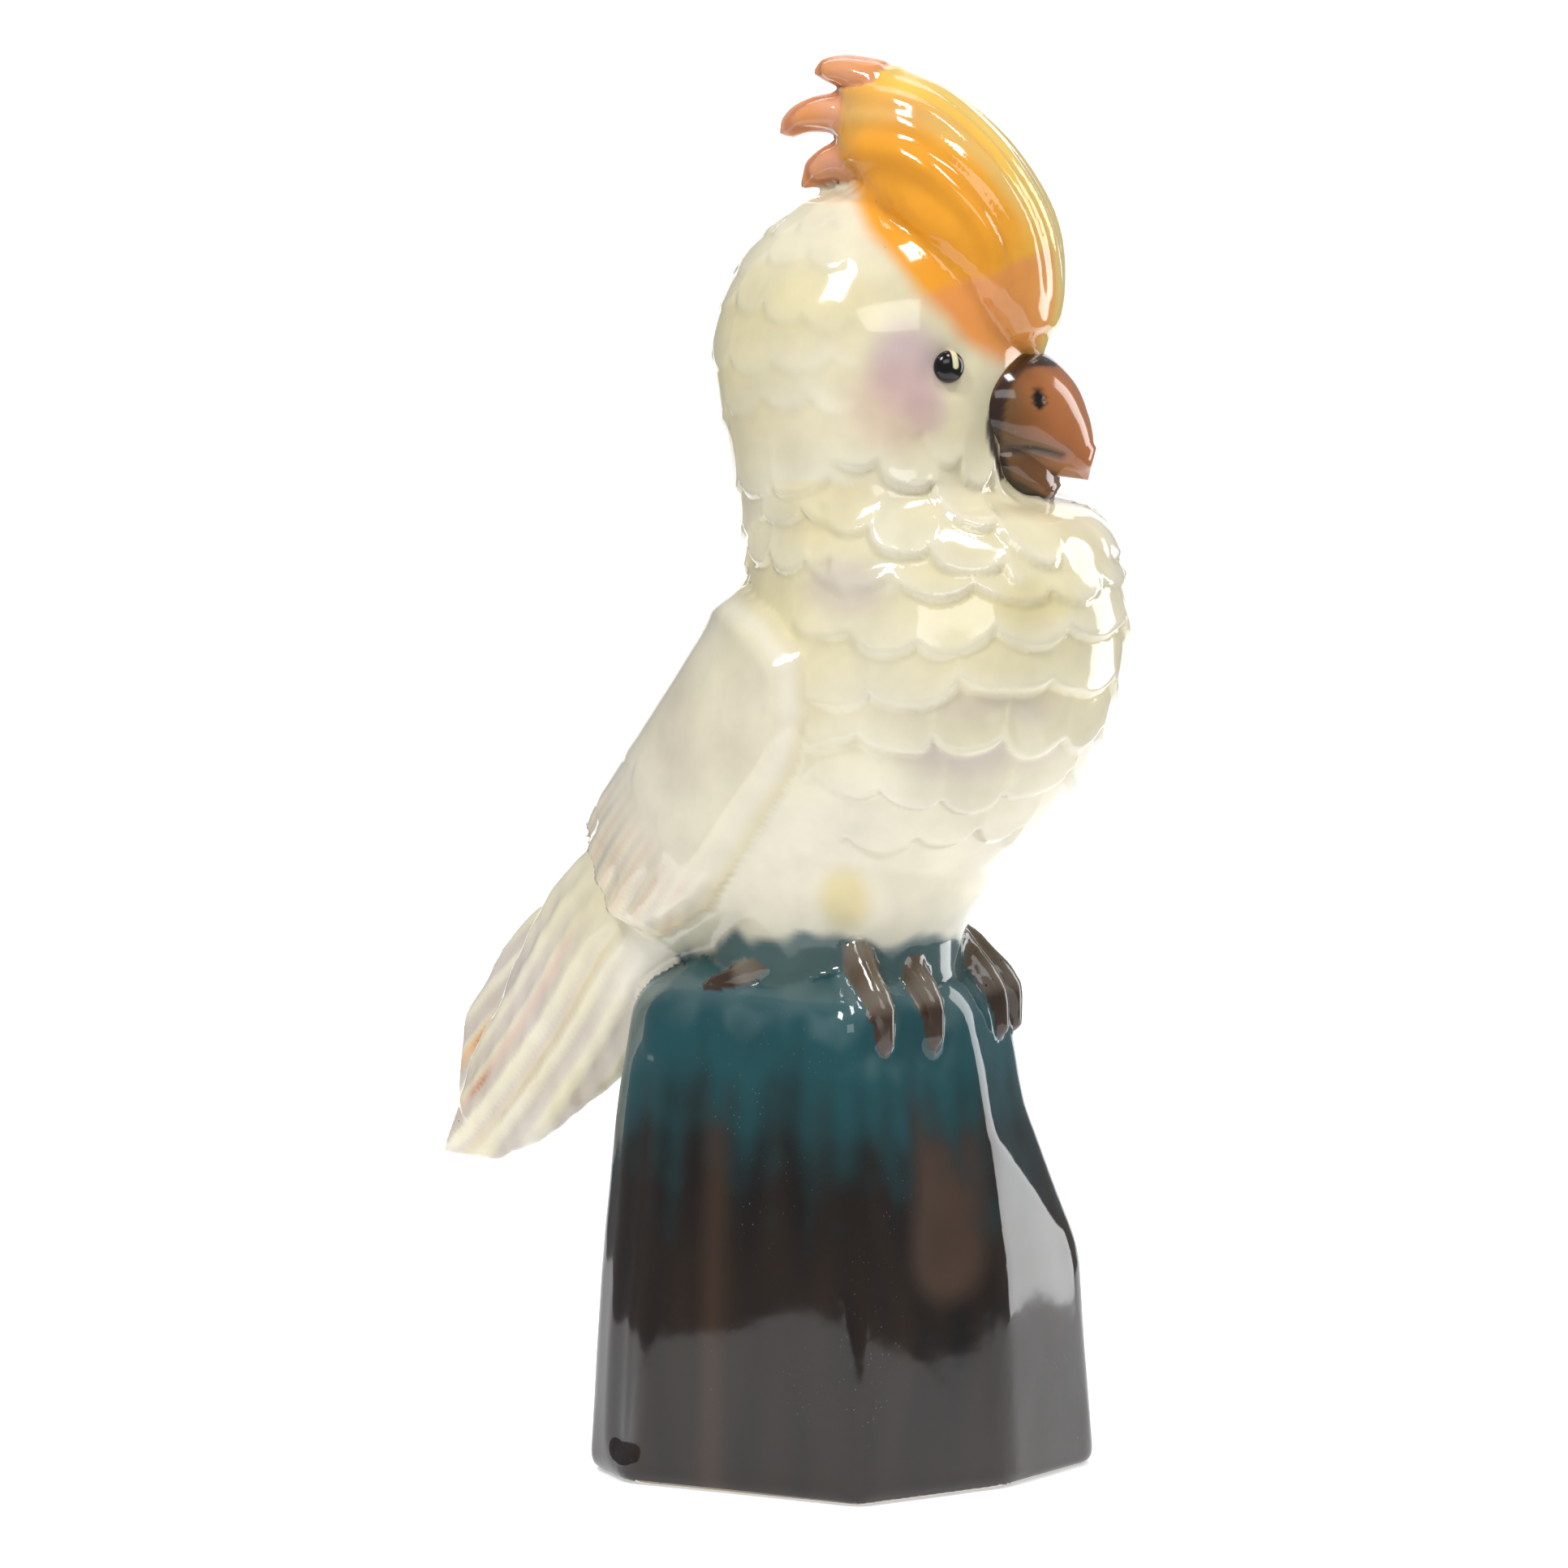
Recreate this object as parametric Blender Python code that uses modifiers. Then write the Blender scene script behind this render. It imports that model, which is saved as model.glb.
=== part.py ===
"""Porcelain cockatoo perched on a faceted tree stump, as the castings that a potter lutes together.

The bird looks along -Y, its right side is -X and the stump stands on z = 0. Sizes are written in millimetres
and handed to Blender in metres. Castings that meet keep a joint of LUTE_GAP between them.
"""

import math

import bmesh
import bpy
from mathutils import Euler, Matrix, Vector
from mathutils.bvhtree import BVHTree

MM = 0.001
LUTE_GAP = 0.3
BIRD_WALL = 3.2
STUMP_WALL = 4.0
NECK_Z = 114.0
NECK_LAP = 3.0
NECK_LAP_DEPTH = 6.0
VENT_RADIUS = 5.0
HEAD_YAW = math.radians(18.0)
HEAD_AXIS = Vector((0.0, -5.0, 0.0))
WING_RELIEF = 2.4
WING_MIDLINE = 1.0
REACH = 90.0
BODY_SEGMENTS = 36
LIMB_SEGMENTS = 18
TOE_SEGMENTS = 10
STEPS_PER_SPAN = 2

# From the stump's axis to the middle of the whole figurine's bounding box, which is the frame's origin.
STAND_OFFSET = Vector((-2.43, -9.46, 0.0))

# Bird sections from rump to crown: y and z of the centre, half width, half depth, forward pitch in degrees
# and share of HEAD_YAW.
BIRD_SECTIONS = (
    (25.5, 60.0, 8.0, 8.0, 48.0, 0.0),
    (17.0, 65.5, 13.5, 14.2, 34.0, 0.0),
    (5.8, 73.0, 18.2, 20.2, 22.0, 0.0),
    (-4.4, 84.0, 21.0, 22.6, 17.0, 0.0),
    (-9.8, 93.0, 21.2, 22.6, 12.0, 0.0),
    (-12.0, 100.5, 20.4, 21.8, 8.0, 0.1),
    (-11.0, 106.5, 19.2, 21.2, 3.0, 0.3),
    (-9.4, 109.4, 18.4, 19.9, 0.0, 0.5),
    (-6.0, 112.2, 18.0, 17.0, 0.0, 0.7),
    (-4.8, 117.0, 17.6, 17.0, 0.0, 0.9),
    (-4.4, 122.0, 17.6, 17.8, 0.0, 1.0),
    (-4.2, 128.0, 17.6, 18.3, 0.0, 1.0),
    (-4.4, 134.0, 16.2, 17.2, 0.0, 1.0),
    (-4.8, 140.0, 12.8, 14.2, 0.0, 1.0),
    (-5.0, 144.5, 8.0, 9.2, 0.0, 1.0),
)
RUMP_POLE = Vector((0.0, 31.5, 54.5))
CROWN_POLE = Vector((0.0, -5.0, 147.5))

# A limb is a list of sections: x, y, z of the centre, half width across the limb, half thickness.
BREECHES = (
    (0.0, 1.0, 54.0, 14.0, 15.2),
    (0.0, 1.0, 64.0, 14.6, 15.6),
    (0.0, -1.0, 74.0, 17.0, 17.5),
    (0.0, -3.0, 82.0, 12.0, 12.0),
)
BREECHES_POLES = (Vector((0.0, 1.0, 50.0)), Vector((0.0, -3.0, 86.0)))
TAIL_CORE = (
    (0.5, 25.0, 59.0, 7.0, 6.0),
    (0.5, 33.0, 50.5, 6.2, 5.0),
    (0.5, 40.0, 42.5, 5.0, 3.6),
    (0.5, 45.0, 37.0, 3.4, 2.2),
)
TAIL_CORE_POLES = (Vector((0.5, 20.0, 63.0)), Vector((0.5, 48.0, 34.0)))
RIGHT_FLIGHTS = (
    (-5.8, 18.5, 67.0, 6.2, 9.5),
    (-5.0, 25.5, 60.5, 5.6, 10.2),
    (-4.0, 33.0, 51.0, 4.4, 9.2),
    (-3.4, 40.5, 42.5, 3.2, 7.0),
    (-3.0, 46.2, 36.8, 2.2, 4.4),
)
RIGHT_FLIGHTS_POLES = (Vector((-5.8, 13.0, 71.0)), Vector((-2.6, 52.0, 33.4)))
LEFT_FLIGHTS = (
    (6.6, 20.5, 67.0, 5.2, 7.0),
    (5.6, 28.0, 60.5, 4.0, 8.4),
    (4.2, 37.0, 53.8, 2.8, 9.6),
    (2.8, 44.6, 46.8, 2.2, 7.4),
    (2.1, 49.0, 42.0, 1.8, 4.4),
)
LEFT_FLIGHTS_POLES = (Vector((6.6, 14.0, 72.0)), Vector((1.6, 52.5, 39.0)))

# Pieces on the head, from its own axis and before it turns.
CREST = (
    (0.0, -16.2, 129.4, 7.0, 3.9),
    (0.0, -15.2, 134.0, 10.4, 5.8),
    (0.0, -12.6, 140.0, 12.4, 7.6),
    (0.0, -7.8, 145.6, 12.0, 8.6),
    (0.0, -2.4, 151.4, 9.4, 7.7),
    (0.0, 1.6, 155.6, 5.6, 5.2),
)
CREST_POLES = (Vector((0.0, -18.0, 125.8)), Vector((0.0, 5.0, 158.0)))
PLUME_TOP = (
    (0.0, 0.5, 157.9, 4.6, 2.4),
    (0.0, 4.0, 158.9, 3.6, 1.9),
    (0.0, 6.4, 159.0, 2.4, 1.4),
)
PLUME_TOP_POLES = (Vector((0.0, -2.0, 156.8)), Vector((0.0, 8.0, 158.7)))
PLUME_MIDDLE = (
    (0.0, 1.0, 153.6, 4.0, 2.8),
    (0.0, 5.6, 154.2, 3.2, 2.3),
    (0.0, 8.8, 153.7, 2.4, 1.8),
    (0.0, 10.6, 152.5, 1.6, 1.3),
)
PLUME_MIDDLE_POLES = (Vector((0.0, -2.0, 153.0)), Vector((0.0, 11.8, 151.6)))
PLUME_LOW = (
    (0.0, 1.0, 148.4, 4.0, 2.8),
    (0.0, 5.0, 148.7, 3.2, 2.3),
    (0.0, 7.4, 147.5, 2.4, 1.8),
)
PLUME_LOW_POLES = (Vector((0.0, -2.0, 148.0)), Vector((0.0, 9.4, 145.6)))
UPPER_MANDIBLE = (
    (0.0, -12.2, 123.4, 6.8, 4.8),
    (0.0, -16.0, 121.2, 8.0, 7.2),
    (0.0, -19.4, 118.4, 6.2, 5.4),
    (0.0, -22.0, 116.0, 3.2, 2.9),
)
UPPER_MANDIBLE_POLES = (Vector((0.0, -9.0, 126.0)), Vector((0.0, -23.4, 113.7)))
LOWER_MANDIBLE = (
    (0.0, -12.0, 114.8, 6.2, 4.6),
    (0.0, -16.2, 113.6, 5.6, 4.4),
    (0.0, -20.0, 113.2, 4.0, 3.0),
)
LOWER_MANDIBLE_POLES = (Vector((0.0, -8.0, 115.6)), Vector((0.0, -22.8, 113.4)))
EYE_PLACE = Vector((13.45, -10.3, 126.6))
EYE_FACING = math.radians(53.0)
EYE_RADIUS = 1.8
EYE_BULGE = 1.2

# Toes, from the leg over the stump's edge to the claw: x, y, z and half width. Each is drawn on to the stump.
TOE_TRACKS = {
    "right_outer_toe": (
        (-7.5, -3.6, 62.0, 1.5),
        (-11.0, -8.6, 61.0, 1.6),
        (-13.4, -13.2, 57.0, 1.5),
        (-13.4, -13.6, 51.0, 0.9),
    ),
    "right_inner_toe": (
        (-3.0, -4.0, 62.0, 1.5),
        (-5.2, -10.4, 61.5, 1.6),
        (-6.6, -16.0, 58.0, 1.5),
        (-6.6, -16.6, 51.0, 0.9),
    ),
    "right_rear_toe": (
        (-9.0, -4.0, 62.0, 1.2),
        (-12.6, -0.5, 61.5, 1.4),
        (-15.0, 4.5, 60.0, 1.2),
        (-15.5, 9.0, 58.0, 0.7),
    ),
    "left_outer_toe": (
        (9.0, -4.0, 62.0, 1.5),
        (11.0, -9.4, 61.0, 1.7),
        (12.8, -15.6, 58.0, 1.7),
        (13.6, -16.6, 51.0, 0.9),
    ),
    "left_inner_toe": (
        (5.0, -4.4, 62.0, 1.5),
        (6.6, -10.4, 61.5, 1.6),
        (7.4, -16.6, 58.0, 1.5),
        (7.4, -17.0, 51.0, 0.9),
    ),
    "left_rear_toe": (
        (10.5, -3.6, 62.0, 1.2),
        (14.2, -0.5, 61.5, 1.4),
        (18.0, 3.5, 60.0, 1.2),
        (19.4, 8.0, 57.0, 0.7),
    ),
}
TOE_STEPS = 4
TOE_LIFT_SHARE = 0.35

# The right wing's outline seen from the side: y and z, from the shoulder down the leading edge.
WING_OUTLINE = (
    (6.0, 101.5),
    (-1.5, 99.0),
    (-6.8, 94.5),
    (-7.6, 88.0),
    (-5.6, 82.0),
    (-1.0, 76.5),
    (4.0, 70.5),
    (9.0, 65.5),
    (17.0, 61.5),
    (26.0, 61.5),
    (36.0, 67.0),
    (36.0, 85.0),
    (20.0, 100.0),
)

# Stump corners, counter-clockwise from the bird's right front: x and y at each of STUMP_LEVELS.
STUMP_CORNERS = (
    ((-20.0, -13.6), (-19.0, -12.9), (-18.2, -11.8), (-17.6, -11.0)),
    ((0.0, -22.2), (-0.2, -20.6), (-0.6, -18.2), (-0.8, -16.8)),
    ((19.2, -22.6), (17.8, -21.2), (12.2, -16.9), (11.4, -15.2)),
    ((28.4, -14.4), (27.0, -13.6), (19.2, -11.0), (17.6, -9.8)),
    ((28.6, 4.5), (26.0, 4.5), (21.6, 4.5), (18.8, 4.0)),
    ((22.2, 20.0), (20.0, 19.0), (17.6, 17.6), (15.4, 16.2)),
    ((4.0, 26.8), (3.4, 25.4), (2.6, 24.0), (2.2, 22.4)),
    ((-13.0, 26.0), (-12.1, 24.8), (-11.5, 23.3), (-10.6, 21.4)),
    ((-19.6, 17.6), (-18.4, 17.0), (-17.4, 16.2), (-16.2, 15.2)),
)
STUMP_LEVELS = (0.0, 25.0, 42.0, 54.5)
STUMP_CROWN_Z = 60.0
STUMP_CROWN_SHARE = 0.72
STUMP_ROUNDING = 2.0

FINISHES = {
    "cream_glaze": ((0.86, 0.83, 0.68, 1.0), 0.12),
    "orange_glaze": ((0.92, 0.55, 0.14, 1.0), 0.12),
    "brown_glaze": ((0.36, 0.19, 0.09, 1.0), 0.14),
    "black_enamel": ((0.02, 0.015, 0.02, 1.0), 0.08),
    "stump_glaze": ((0.05, 0.07, 0.07, 1.0), 0.1),
}


def smooth_track(values, steps):
    """Rows of numbers with steps - 1 new rows between each pair, on a Catmull-Rom curve through them."""
    rows = []
    last = len(values) - 1
    for index in range(last):
        before = values[max(index - 1, 0)]
        start, end = values[index], values[index + 1]
        after = values[min(index + 2, last)]
        for step in range(steps):
            t = step / steps
            rows.append(
                tuple(
                    0.5 * (2 * b + t * (c - a + t * (2 * a - 5 * b + 4 * c - d + t * (3 * b - a - 3 * c + d))))
                    for a, b, c, d in zip(before, start, end, after)
                )
            )
    rows.append(tuple(values[last]))
    return rows


def placed(centre, side, deep, half_side, half_deep):
    """The matrix that carries a unit circle to an ellipse about centre, in the plane of side and deep."""
    normal = side.cross(deep)
    matrix = Matrix((side * half_side, deep * half_deep, normal)).transposed().to_4x4()
    matrix.translation = centre
    return matrix


def loft(name, matrices, poles, segments, collection):
    """A closed form through the ellipses that the matrices give, drawn to a point at each pole."""
    bm = bmesh.new()
    ring = bmesh.ops.create_circle(bm, segments=segments, radius=1.0)["verts"]
    bmesh.ops.transform(bm, matrix=matrices[0], verts=ring)
    first_edges = list(bm.edges)
    made = bmesh.ops.extrude_edge_only(bm, edges=first_edges)["geom"]
    tip = [v for v in made if isinstance(v, bmesh.types.BMVert)]
    bmesh.ops.pointmerge(bm, verts=tip, merge_co=poles[0])
    edges = first_edges
    for before, after in zip(matrices, matrices[1:]):
        made = bmesh.ops.extrude_edge_only(bm, edges=edges)["geom"]
        ring = [v for v in made if isinstance(v, bmesh.types.BMVert)]
        edges = [e for e in made if isinstance(e, bmesh.types.BMEdge)]
        bmesh.ops.transform(bm, matrix=after @ before.inverted(), verts=ring)
    made = bmesh.ops.extrude_edge_only(bm, edges=edges)["geom"]
    tip = [v for v in made if isinstance(v, bmesh.types.BMVert)]
    bmesh.ops.pointmerge(bm, verts=tip, merge_co=poles[1])
    return finished(name, bm, collection)


def finished(name, bm, collection):
    """An object in metres, smooth shaded, from a mesh in millimetres."""
    bmesh.ops.recalc_face_normals(bm, faces=bm.faces)
    bmesh.ops.scale(bm, vec=(MM, MM, MM), verts=bm.verts)
    mesh = bpy.data.meshes.new(name)
    bm.to_mesh(mesh)
    bm.free()
    mesh.shade_smooth()
    mesh.set_sharp_from_angle(angle=math.radians(40.0))
    obj = bpy.data.objects.new(name, mesh)
    collection.objects.link(obj)
    return obj


def bird_form(name, grow, collection):
    """The whole bird from rump to crown as one closed form, its half widths larger by grow."""
    matrices = []
    for y, z, wide, deep, pitch, turn in smooth_track(BIRD_SECTIONS, STEPS_PER_SPAN):
        yaw = Matrix.Rotation(turn * HEAD_YAW, 3, "Z")
        side = yaw @ Vector((1.0, 0.0, 0.0))
        tilt = math.radians(pitch)
        forward = yaw @ Vector((0.0, -math.cos(tilt), -math.sin(tilt)))
        centre = HEAD_AXIS + yaw @ (Vector((0.0, y, z)) - HEAD_AXIS)
        matrices.append(placed(centre, side, forward, wide + grow, deep + grow))
    rump_way = Vector((0.0, 0.77, -0.64))
    poles = (RUMP_POLE + rump_way * grow, CROWN_POLE + Vector((0.0, 0.0, grow)))
    return loft(name, matrices, poles, BODY_SEGMENTS, collection)


def limb_form(name, sections, poles, grow, collection, segments=LIMB_SEGMENTS):
    """A closed limb through its sections, smoothed between them."""
    return limb_through(name, smooth_track(sections, STEPS_PER_SPAN), poles, grow, collection, segments)


def limb_through(name, rows, poles, grow, collection, segments):
    """A closed limb whose sections stand square to the line through their centres."""
    centres = [Vector(row[:3]) for row in rows]
    line = [poles[0], *centres, poles[1]]
    matrices = []
    for index, (centre, row) in enumerate(zip(centres, rows)):
        along = (line[index + 2] - line[index]).normalized()
        side = Vector((1.0, 0.0, 0.0))
        side = (side - along * side.dot(along)).normalized()
        matrices.append(placed(centre, side, along.cross(side), row[3] + grow, row[4] + grow))
    start_way = (poles[0] - centres[0]).normalized()
    end_way = (poles[1] - centres[-1]).normalized()
    ends = (poles[0] + start_way * grow, poles[1] + end_way * grow)
    return loft(name, matrices, ends, segments, collection)


def surface_of(obj):
    """A search tree over an object's finished surface, in millimetres."""
    bpy.context.view_layer.update()
    bm = bmesh.new()
    bm.from_object(obj, bpy.context.evaluated_depsgraph_get())
    bmesh.ops.scale(bm, vec=(1 / MM, 1 / MM, 1 / MM), verts=bm.verts)
    tree = BVHTree.FromBMesh(bm)
    bm.free()
    return tree


def toe_form(name, track, ground, grow, collection):
    """A tapering toe that follows its track along the ground it grips, round in section."""
    rows = []
    for x, y, z, half in smooth_track(track, TOE_STEPS):
        place, normal, _, _ = ground.find_nearest(Vector((x, y, z)))
        rows.append((*(place + normal * half * TOE_LIFT_SHARE), half, half))
    start, end = Vector(rows[0][:3]), Vector(rows[-1][:3])
    start_way = (start - Vector(rows[1][:3])).normalized()
    end_way = (end - Vector(rows[-2][:3])).normalized()
    poles = (start + start_way * rows[0][3], end + end_way * rows[-1][3] * 1.6)
    return limb_through(name, rows, poles, grow, collection, TOE_SEGMENTS)


def stump_form(name, grow, foot_z, collection):
    """The faceted stump as one closed form, its corners moved outward by grow."""
    middle = Vector((3.0, 1.0, 0.0))
    levels = []
    for level, z in enumerate(STUMP_LEVELS):
        ring = [Vector((*corner[level], z)) for corner in STUMP_CORNERS]
        levels.append([p + (p - middle).to_2d().normalized().to_3d() * grow for p in ring])
    foot = [Vector((p.x, p.y, foot_z)) for p in levels[0]]
    crown_z = STUMP_CROWN_Z + grow
    share = STUMP_CROWN_SHARE
    crown = [Vector((middle.x * 0.3 + p.x * share, p.y * share, crown_z)) for p in levels[-1]]
    bm = bmesh.new()
    ring = bmesh.ops.create_circle(bm, segments=len(foot), radius=1.0)["verts"]
    edges = list(bm.edges)
    bmesh.ops.contextual_create(bm, geom=edges)
    for vert, place in zip(ring, foot):
        vert.co = place
    for places in (*levels, crown):
        made = bmesh.ops.extrude_edge_only(bm, edges=edges)["geom"]
        edges = [e for e in made if isinstance(e, bmesh.types.BMEdge)]
        above = {}
        for vert in ring:
            for edge in vert.link_edges:
                other = edge.other_vert(vert)
                if other in made:
                    above[vert] = other
        ring = [above[vert] for vert in ring]
        for vert, place in zip(ring, places):
            vert.co = place
    bmesh.ops.contextual_create(bm, geom=edges)
    obj = finished(name, bm, collection)
    rounding = obj.modifiers.new("rounded_arrises", "BEVEL")
    rounding.width = STUMP_ROUNDING * MM
    rounding.segments = 3
    rounding.limit_method = "ANGLE"
    rounding.angle_limit = math.radians(14.0)
    return obj


def box_form(name, low, high, collection):
    """An upright box between two corners."""
    bm = bmesh.new()
    bmesh.ops.create_cube(bm, size=1.0)
    size = Vector(high) - Vector(low)
    bmesh.ops.scale(bm, vec=size, verts=bm.verts)
    bmesh.ops.translate(bm, vec=(Vector(high) + Vector(low)) / 2, verts=bm.verts)
    return finished(name, bm, collection)


def rod_form(name, radius, low_z, high_z, place, collection):
    """An upright round rod."""
    bm = bmesh.new()
    bmesh.ops.create_cone(
        bm, cap_ends=True, segments=24, radius1=radius, radius2=radius, depth=high_z - low_z
    )
    bmesh.ops.translate(bm, vec=Vector((place[0], place[1], (low_z + high_z) / 2)), verts=bm.verts)
    return finished(name, bm, collection)


def wing_prism(name, side, collection):
    """A slab with the wing's outline on one side of the bird. Side is -1 on its right and 1 on its left."""
    curve = bpy.data.curves.new(name, "CURVE")
    curve.dimensions = "2D"
    curve.fill_mode = "BOTH"
    curve.extrude = (REACH - WING_MIDLINE) / 2 * MM
    spline = curve.splines.new("POLY")
    outline = smooth_track(WING_OUTLINE + WING_OUTLINE[:1], STEPS_PER_SPAN)[:-1]
    spline.points.add(len(outline) - 1)
    for point, (y, z) in zip(spline.points, outline):
        point.co = (y * MM, z * MM, 0.0, 1.0)
    spline.use_cyclic_u = True
    flat = bpy.data.objects.new(name + "_outline", curve)
    collection.objects.link(flat)
    aside = side * (REACH + WING_MIDLINE) / 2 * MM
    flat.matrix_world = Matrix(((0, 0, 1, aside), (1, 0, 0, 0), (0, 1, 0, 0), (0, 0, 0, 1)))
    bpy.context.view_layer.update()
    mesh = bpy.data.meshes.new_from_object(flat.evaluated_get(bpy.context.evaluated_depsgraph_get()))
    bm = bmesh.new()
    bm.from_mesh(mesh)
    bmesh.ops.transform(bm, matrix=flat.matrix_world, verts=bm.verts)
    bmesh.ops.remove_doubles(bm, verts=bm.verts, dist=0.01 * MM)
    bmesh.ops.recalc_face_normals(bm, faces=bm.faces)
    bm.to_mesh(mesh)
    bm.free()
    bpy.data.objects.remove(flat)
    slab = bpy.data.objects.new(name, mesh)
    collection.objects.link(slab)
    return slab


def eye_form(name, side, collection):
    """A flattened bead, seated in the side of the head."""
    bm = bmesh.new()
    bmesh.ops.create_uvsphere(bm, u_segments=20, v_segments=12, radius=EYE_RADIUS)
    bmesh.ops.scale(bm, vec=(1.0, 1.0, EYE_BULGE / EYE_RADIUS), verts=bm.verts)
    turn = Euler((math.radians(90.0), 0.0, side * EYE_FACING)).to_matrix()
    bmesh.ops.rotate(bm, matrix=turn, verts=bm.verts)
    bmesh.ops.translate(bm, vec=Vector((side * EYE_PLACE.x, EYE_PLACE.y, EYE_PLACE.z)), verts=bm.verts)
    return finished(name, bm, collection)


def boolean(obj, other, operation):
    """A live Boolean with the exact solver."""
    modifier = obj.modifiers.new(operation.lower() + "_" + other.name, "BOOLEAN")
    modifier.operation = operation
    modifier.object = other


def cut(obj, *cutters):
    """Each cutter's space taken out of the casting."""
    for cutter in cutters:
        boolean(obj, cutter, "DIFFERENCE")


class Figurine:
    """Builds the castings and the hidden forms that fit them to each other."""

    def __init__(self):
        self.parts = bpy.data.collections.new("porcelain_cockatoo")
        self.cutters = bpy.data.collections.new("cutters")
        for collection in (self.parts, self.cutters):
            bpy.context.scene.collection.children.link(collection)
        self.stand = bpy.data.objects.new("stand_origin", None)
        self.head_pivot = bpy.data.objects.new("head_pivot", None)
        for empty in (self.stand, self.head_pivot):
            self.parts.objects.link(empty)
        self.stand.location = STAND_OFFSET * MM
        self.head_pivot.parent = self.stand
        self.head_pivot.location = HEAD_AXIS * MM
        self.head_pivot.rotation_euler = (0.0, 0.0, HEAD_YAW)
        self.finishes = {name: self.finish(name, *look) for name, look in FINISHES.items()}

    def finish(self, name, colour, roughness):
        """A glaze in its plain colour."""
        material = bpy.data.materials.new(name)
        material.use_nodes = True
        shader = material.node_tree.nodes["Principled BSDF"]
        shader.inputs["Base Color"].default_value = colour
        shader.inputs["Roughness"].default_value = roughness
        shader.inputs["Metallic"].default_value = 0.0
        return material

    def seat(self, obj, finish, on_head=False):
        """Hangs a casting on its parent and gives it its glaze."""
        obj.parent = self.head_pivot if on_head else self.stand
        obj.data.materials.append(self.finishes[finish])
        return obj

    def hide(self, obj, on_head=False):
        """Marks a form as a cutter."""
        obj.parent = self.head_pivot if on_head else self.stand
        obj.hide_render = True
        obj.display_type = "WIRE"
        return obj

    def make_forms(self):
        """The forms that castings are cut with: the bird and the stump, larger by the joint's gap."""
        box = self.cutters
        self.bird_room = self.hide(bird_form("bird_room", LUTE_GAP, box))
        self.breeches_room = self.hide(
            limb_form("breeches_room", BREECHES, BREECHES_POLES, LUTE_GAP, box, BODY_SEGMENTS)
        )
        self.stump_room = self.hide(stump_form("stump_room", LUTE_GAP, -STUMP_ROUNDING * 2, box))
        self.bird_hollow = self.hide(bird_form("bird_hollow", -BIRD_WALL, box))
        self.breeches_hollow = self.hide(
            limb_form("breeches_hollow", BREECHES, BREECHES_POLES, -BIRD_WALL, box, BODY_SEGMENTS)
        )

    def make_torso(self):
        """The hollow torso, with a thin collar at the neck that the head slips over."""
        box = self.cutters
        torso = self.seat(bird_form("torso", 0.0, self.parts), "cream_glaze")
        above = self.hide(
            box_form("above_neck", (-REACH, -REACH, NECK_Z), (REACH, REACH, NECK_Z + REACH), box)
        )
        collar = self.hide(bird_form("neck_collar", -BIRD_WALL / 2, box))
        band_low = (-REACH, -REACH, NECK_Z - NECK_LAP_DEPTH)
        band_high = (REACH, REACH, NECK_Z + NECK_LAP)
        band = self.hide(box_form("collar_band", band_low, band_high, box))
        boolean(collar, band, "INTERSECT")
        breeches = self.hide(limb_form("breeches", BREECHES, BREECHES_POLES, 0.0, box, BODY_SEGMENTS))
        boolean(torso, breeches, "UNION")
        cut(torso, above)
        boolean(torso, collar, "UNION")
        cut(torso, self.bird_hollow, self.breeches_hollow, self.stump_room)

    def make_head(self):
        """The hollow head, rebated inside its rim for the torso's collar."""
        box = self.cutters
        head = self.seat(bird_form("head", 0.0, self.parts), "cream_glaze")
        joint_z = NECK_Z + LUTE_GAP
        below = self.hide(box_form("below_neck", (-REACH, -REACH, -REACH), (REACH, REACH, joint_z), box))
        socket = self.hide(bird_form("neck_socket", LUTE_GAP - BIRD_WALL / 2, box))
        band_low = (-REACH, -REACH, NECK_Z - NECK_LAP)
        band_high = (REACH, REACH, joint_z + NECK_LAP)
        band = self.hide(box_form("socket_band", band_low, band_high, box))
        boolean(socket, band, "INTERSECT")
        cut(head, below, socket, self.bird_hollow)

    def make_stump(self):
        """The hollow stump, open underneath on a flat foot ring, with a vent up into the bird."""
        box = self.cutters
        stump = self.seat(stump_form("stump", 0.0, -STUMP_ROUNDING * 2, self.parts), "stump_glaze")
        hollow = self.hide(stump_form("stump_hollow", -STUMP_WALL, -STUMP_ROUNDING * 4, box))
        floor = self.hide(box_form("below_foot", (-REACH, -REACH, -REACH), (REACH, REACH, 0.0), box))
        vent = self.hide(
            rod_form("vent", VENT_RADIUS, STUMP_CROWN_Z - 15.0, STUMP_CROWN_Z + 10.0, (1.0, 1.0), box)
        )
        cut(stump, hollow, vent, floor)

    def make_wings(self):
        """Both wings, as raised covers that lie on the torso's sides and nearly meet at the back."""
        for side, name in ((-1, "right_wing"), (1, "left_wing")):
            wing = self.seat(bird_form(name, WING_RELIEF, self.parts), "cream_glaze")
            slab = self.hide(wing_prism(name + "_outline", side, self.cutters))
            boolean(wing, slab, "INTERSECT")
            cut(wing, self.bird_room)

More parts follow.
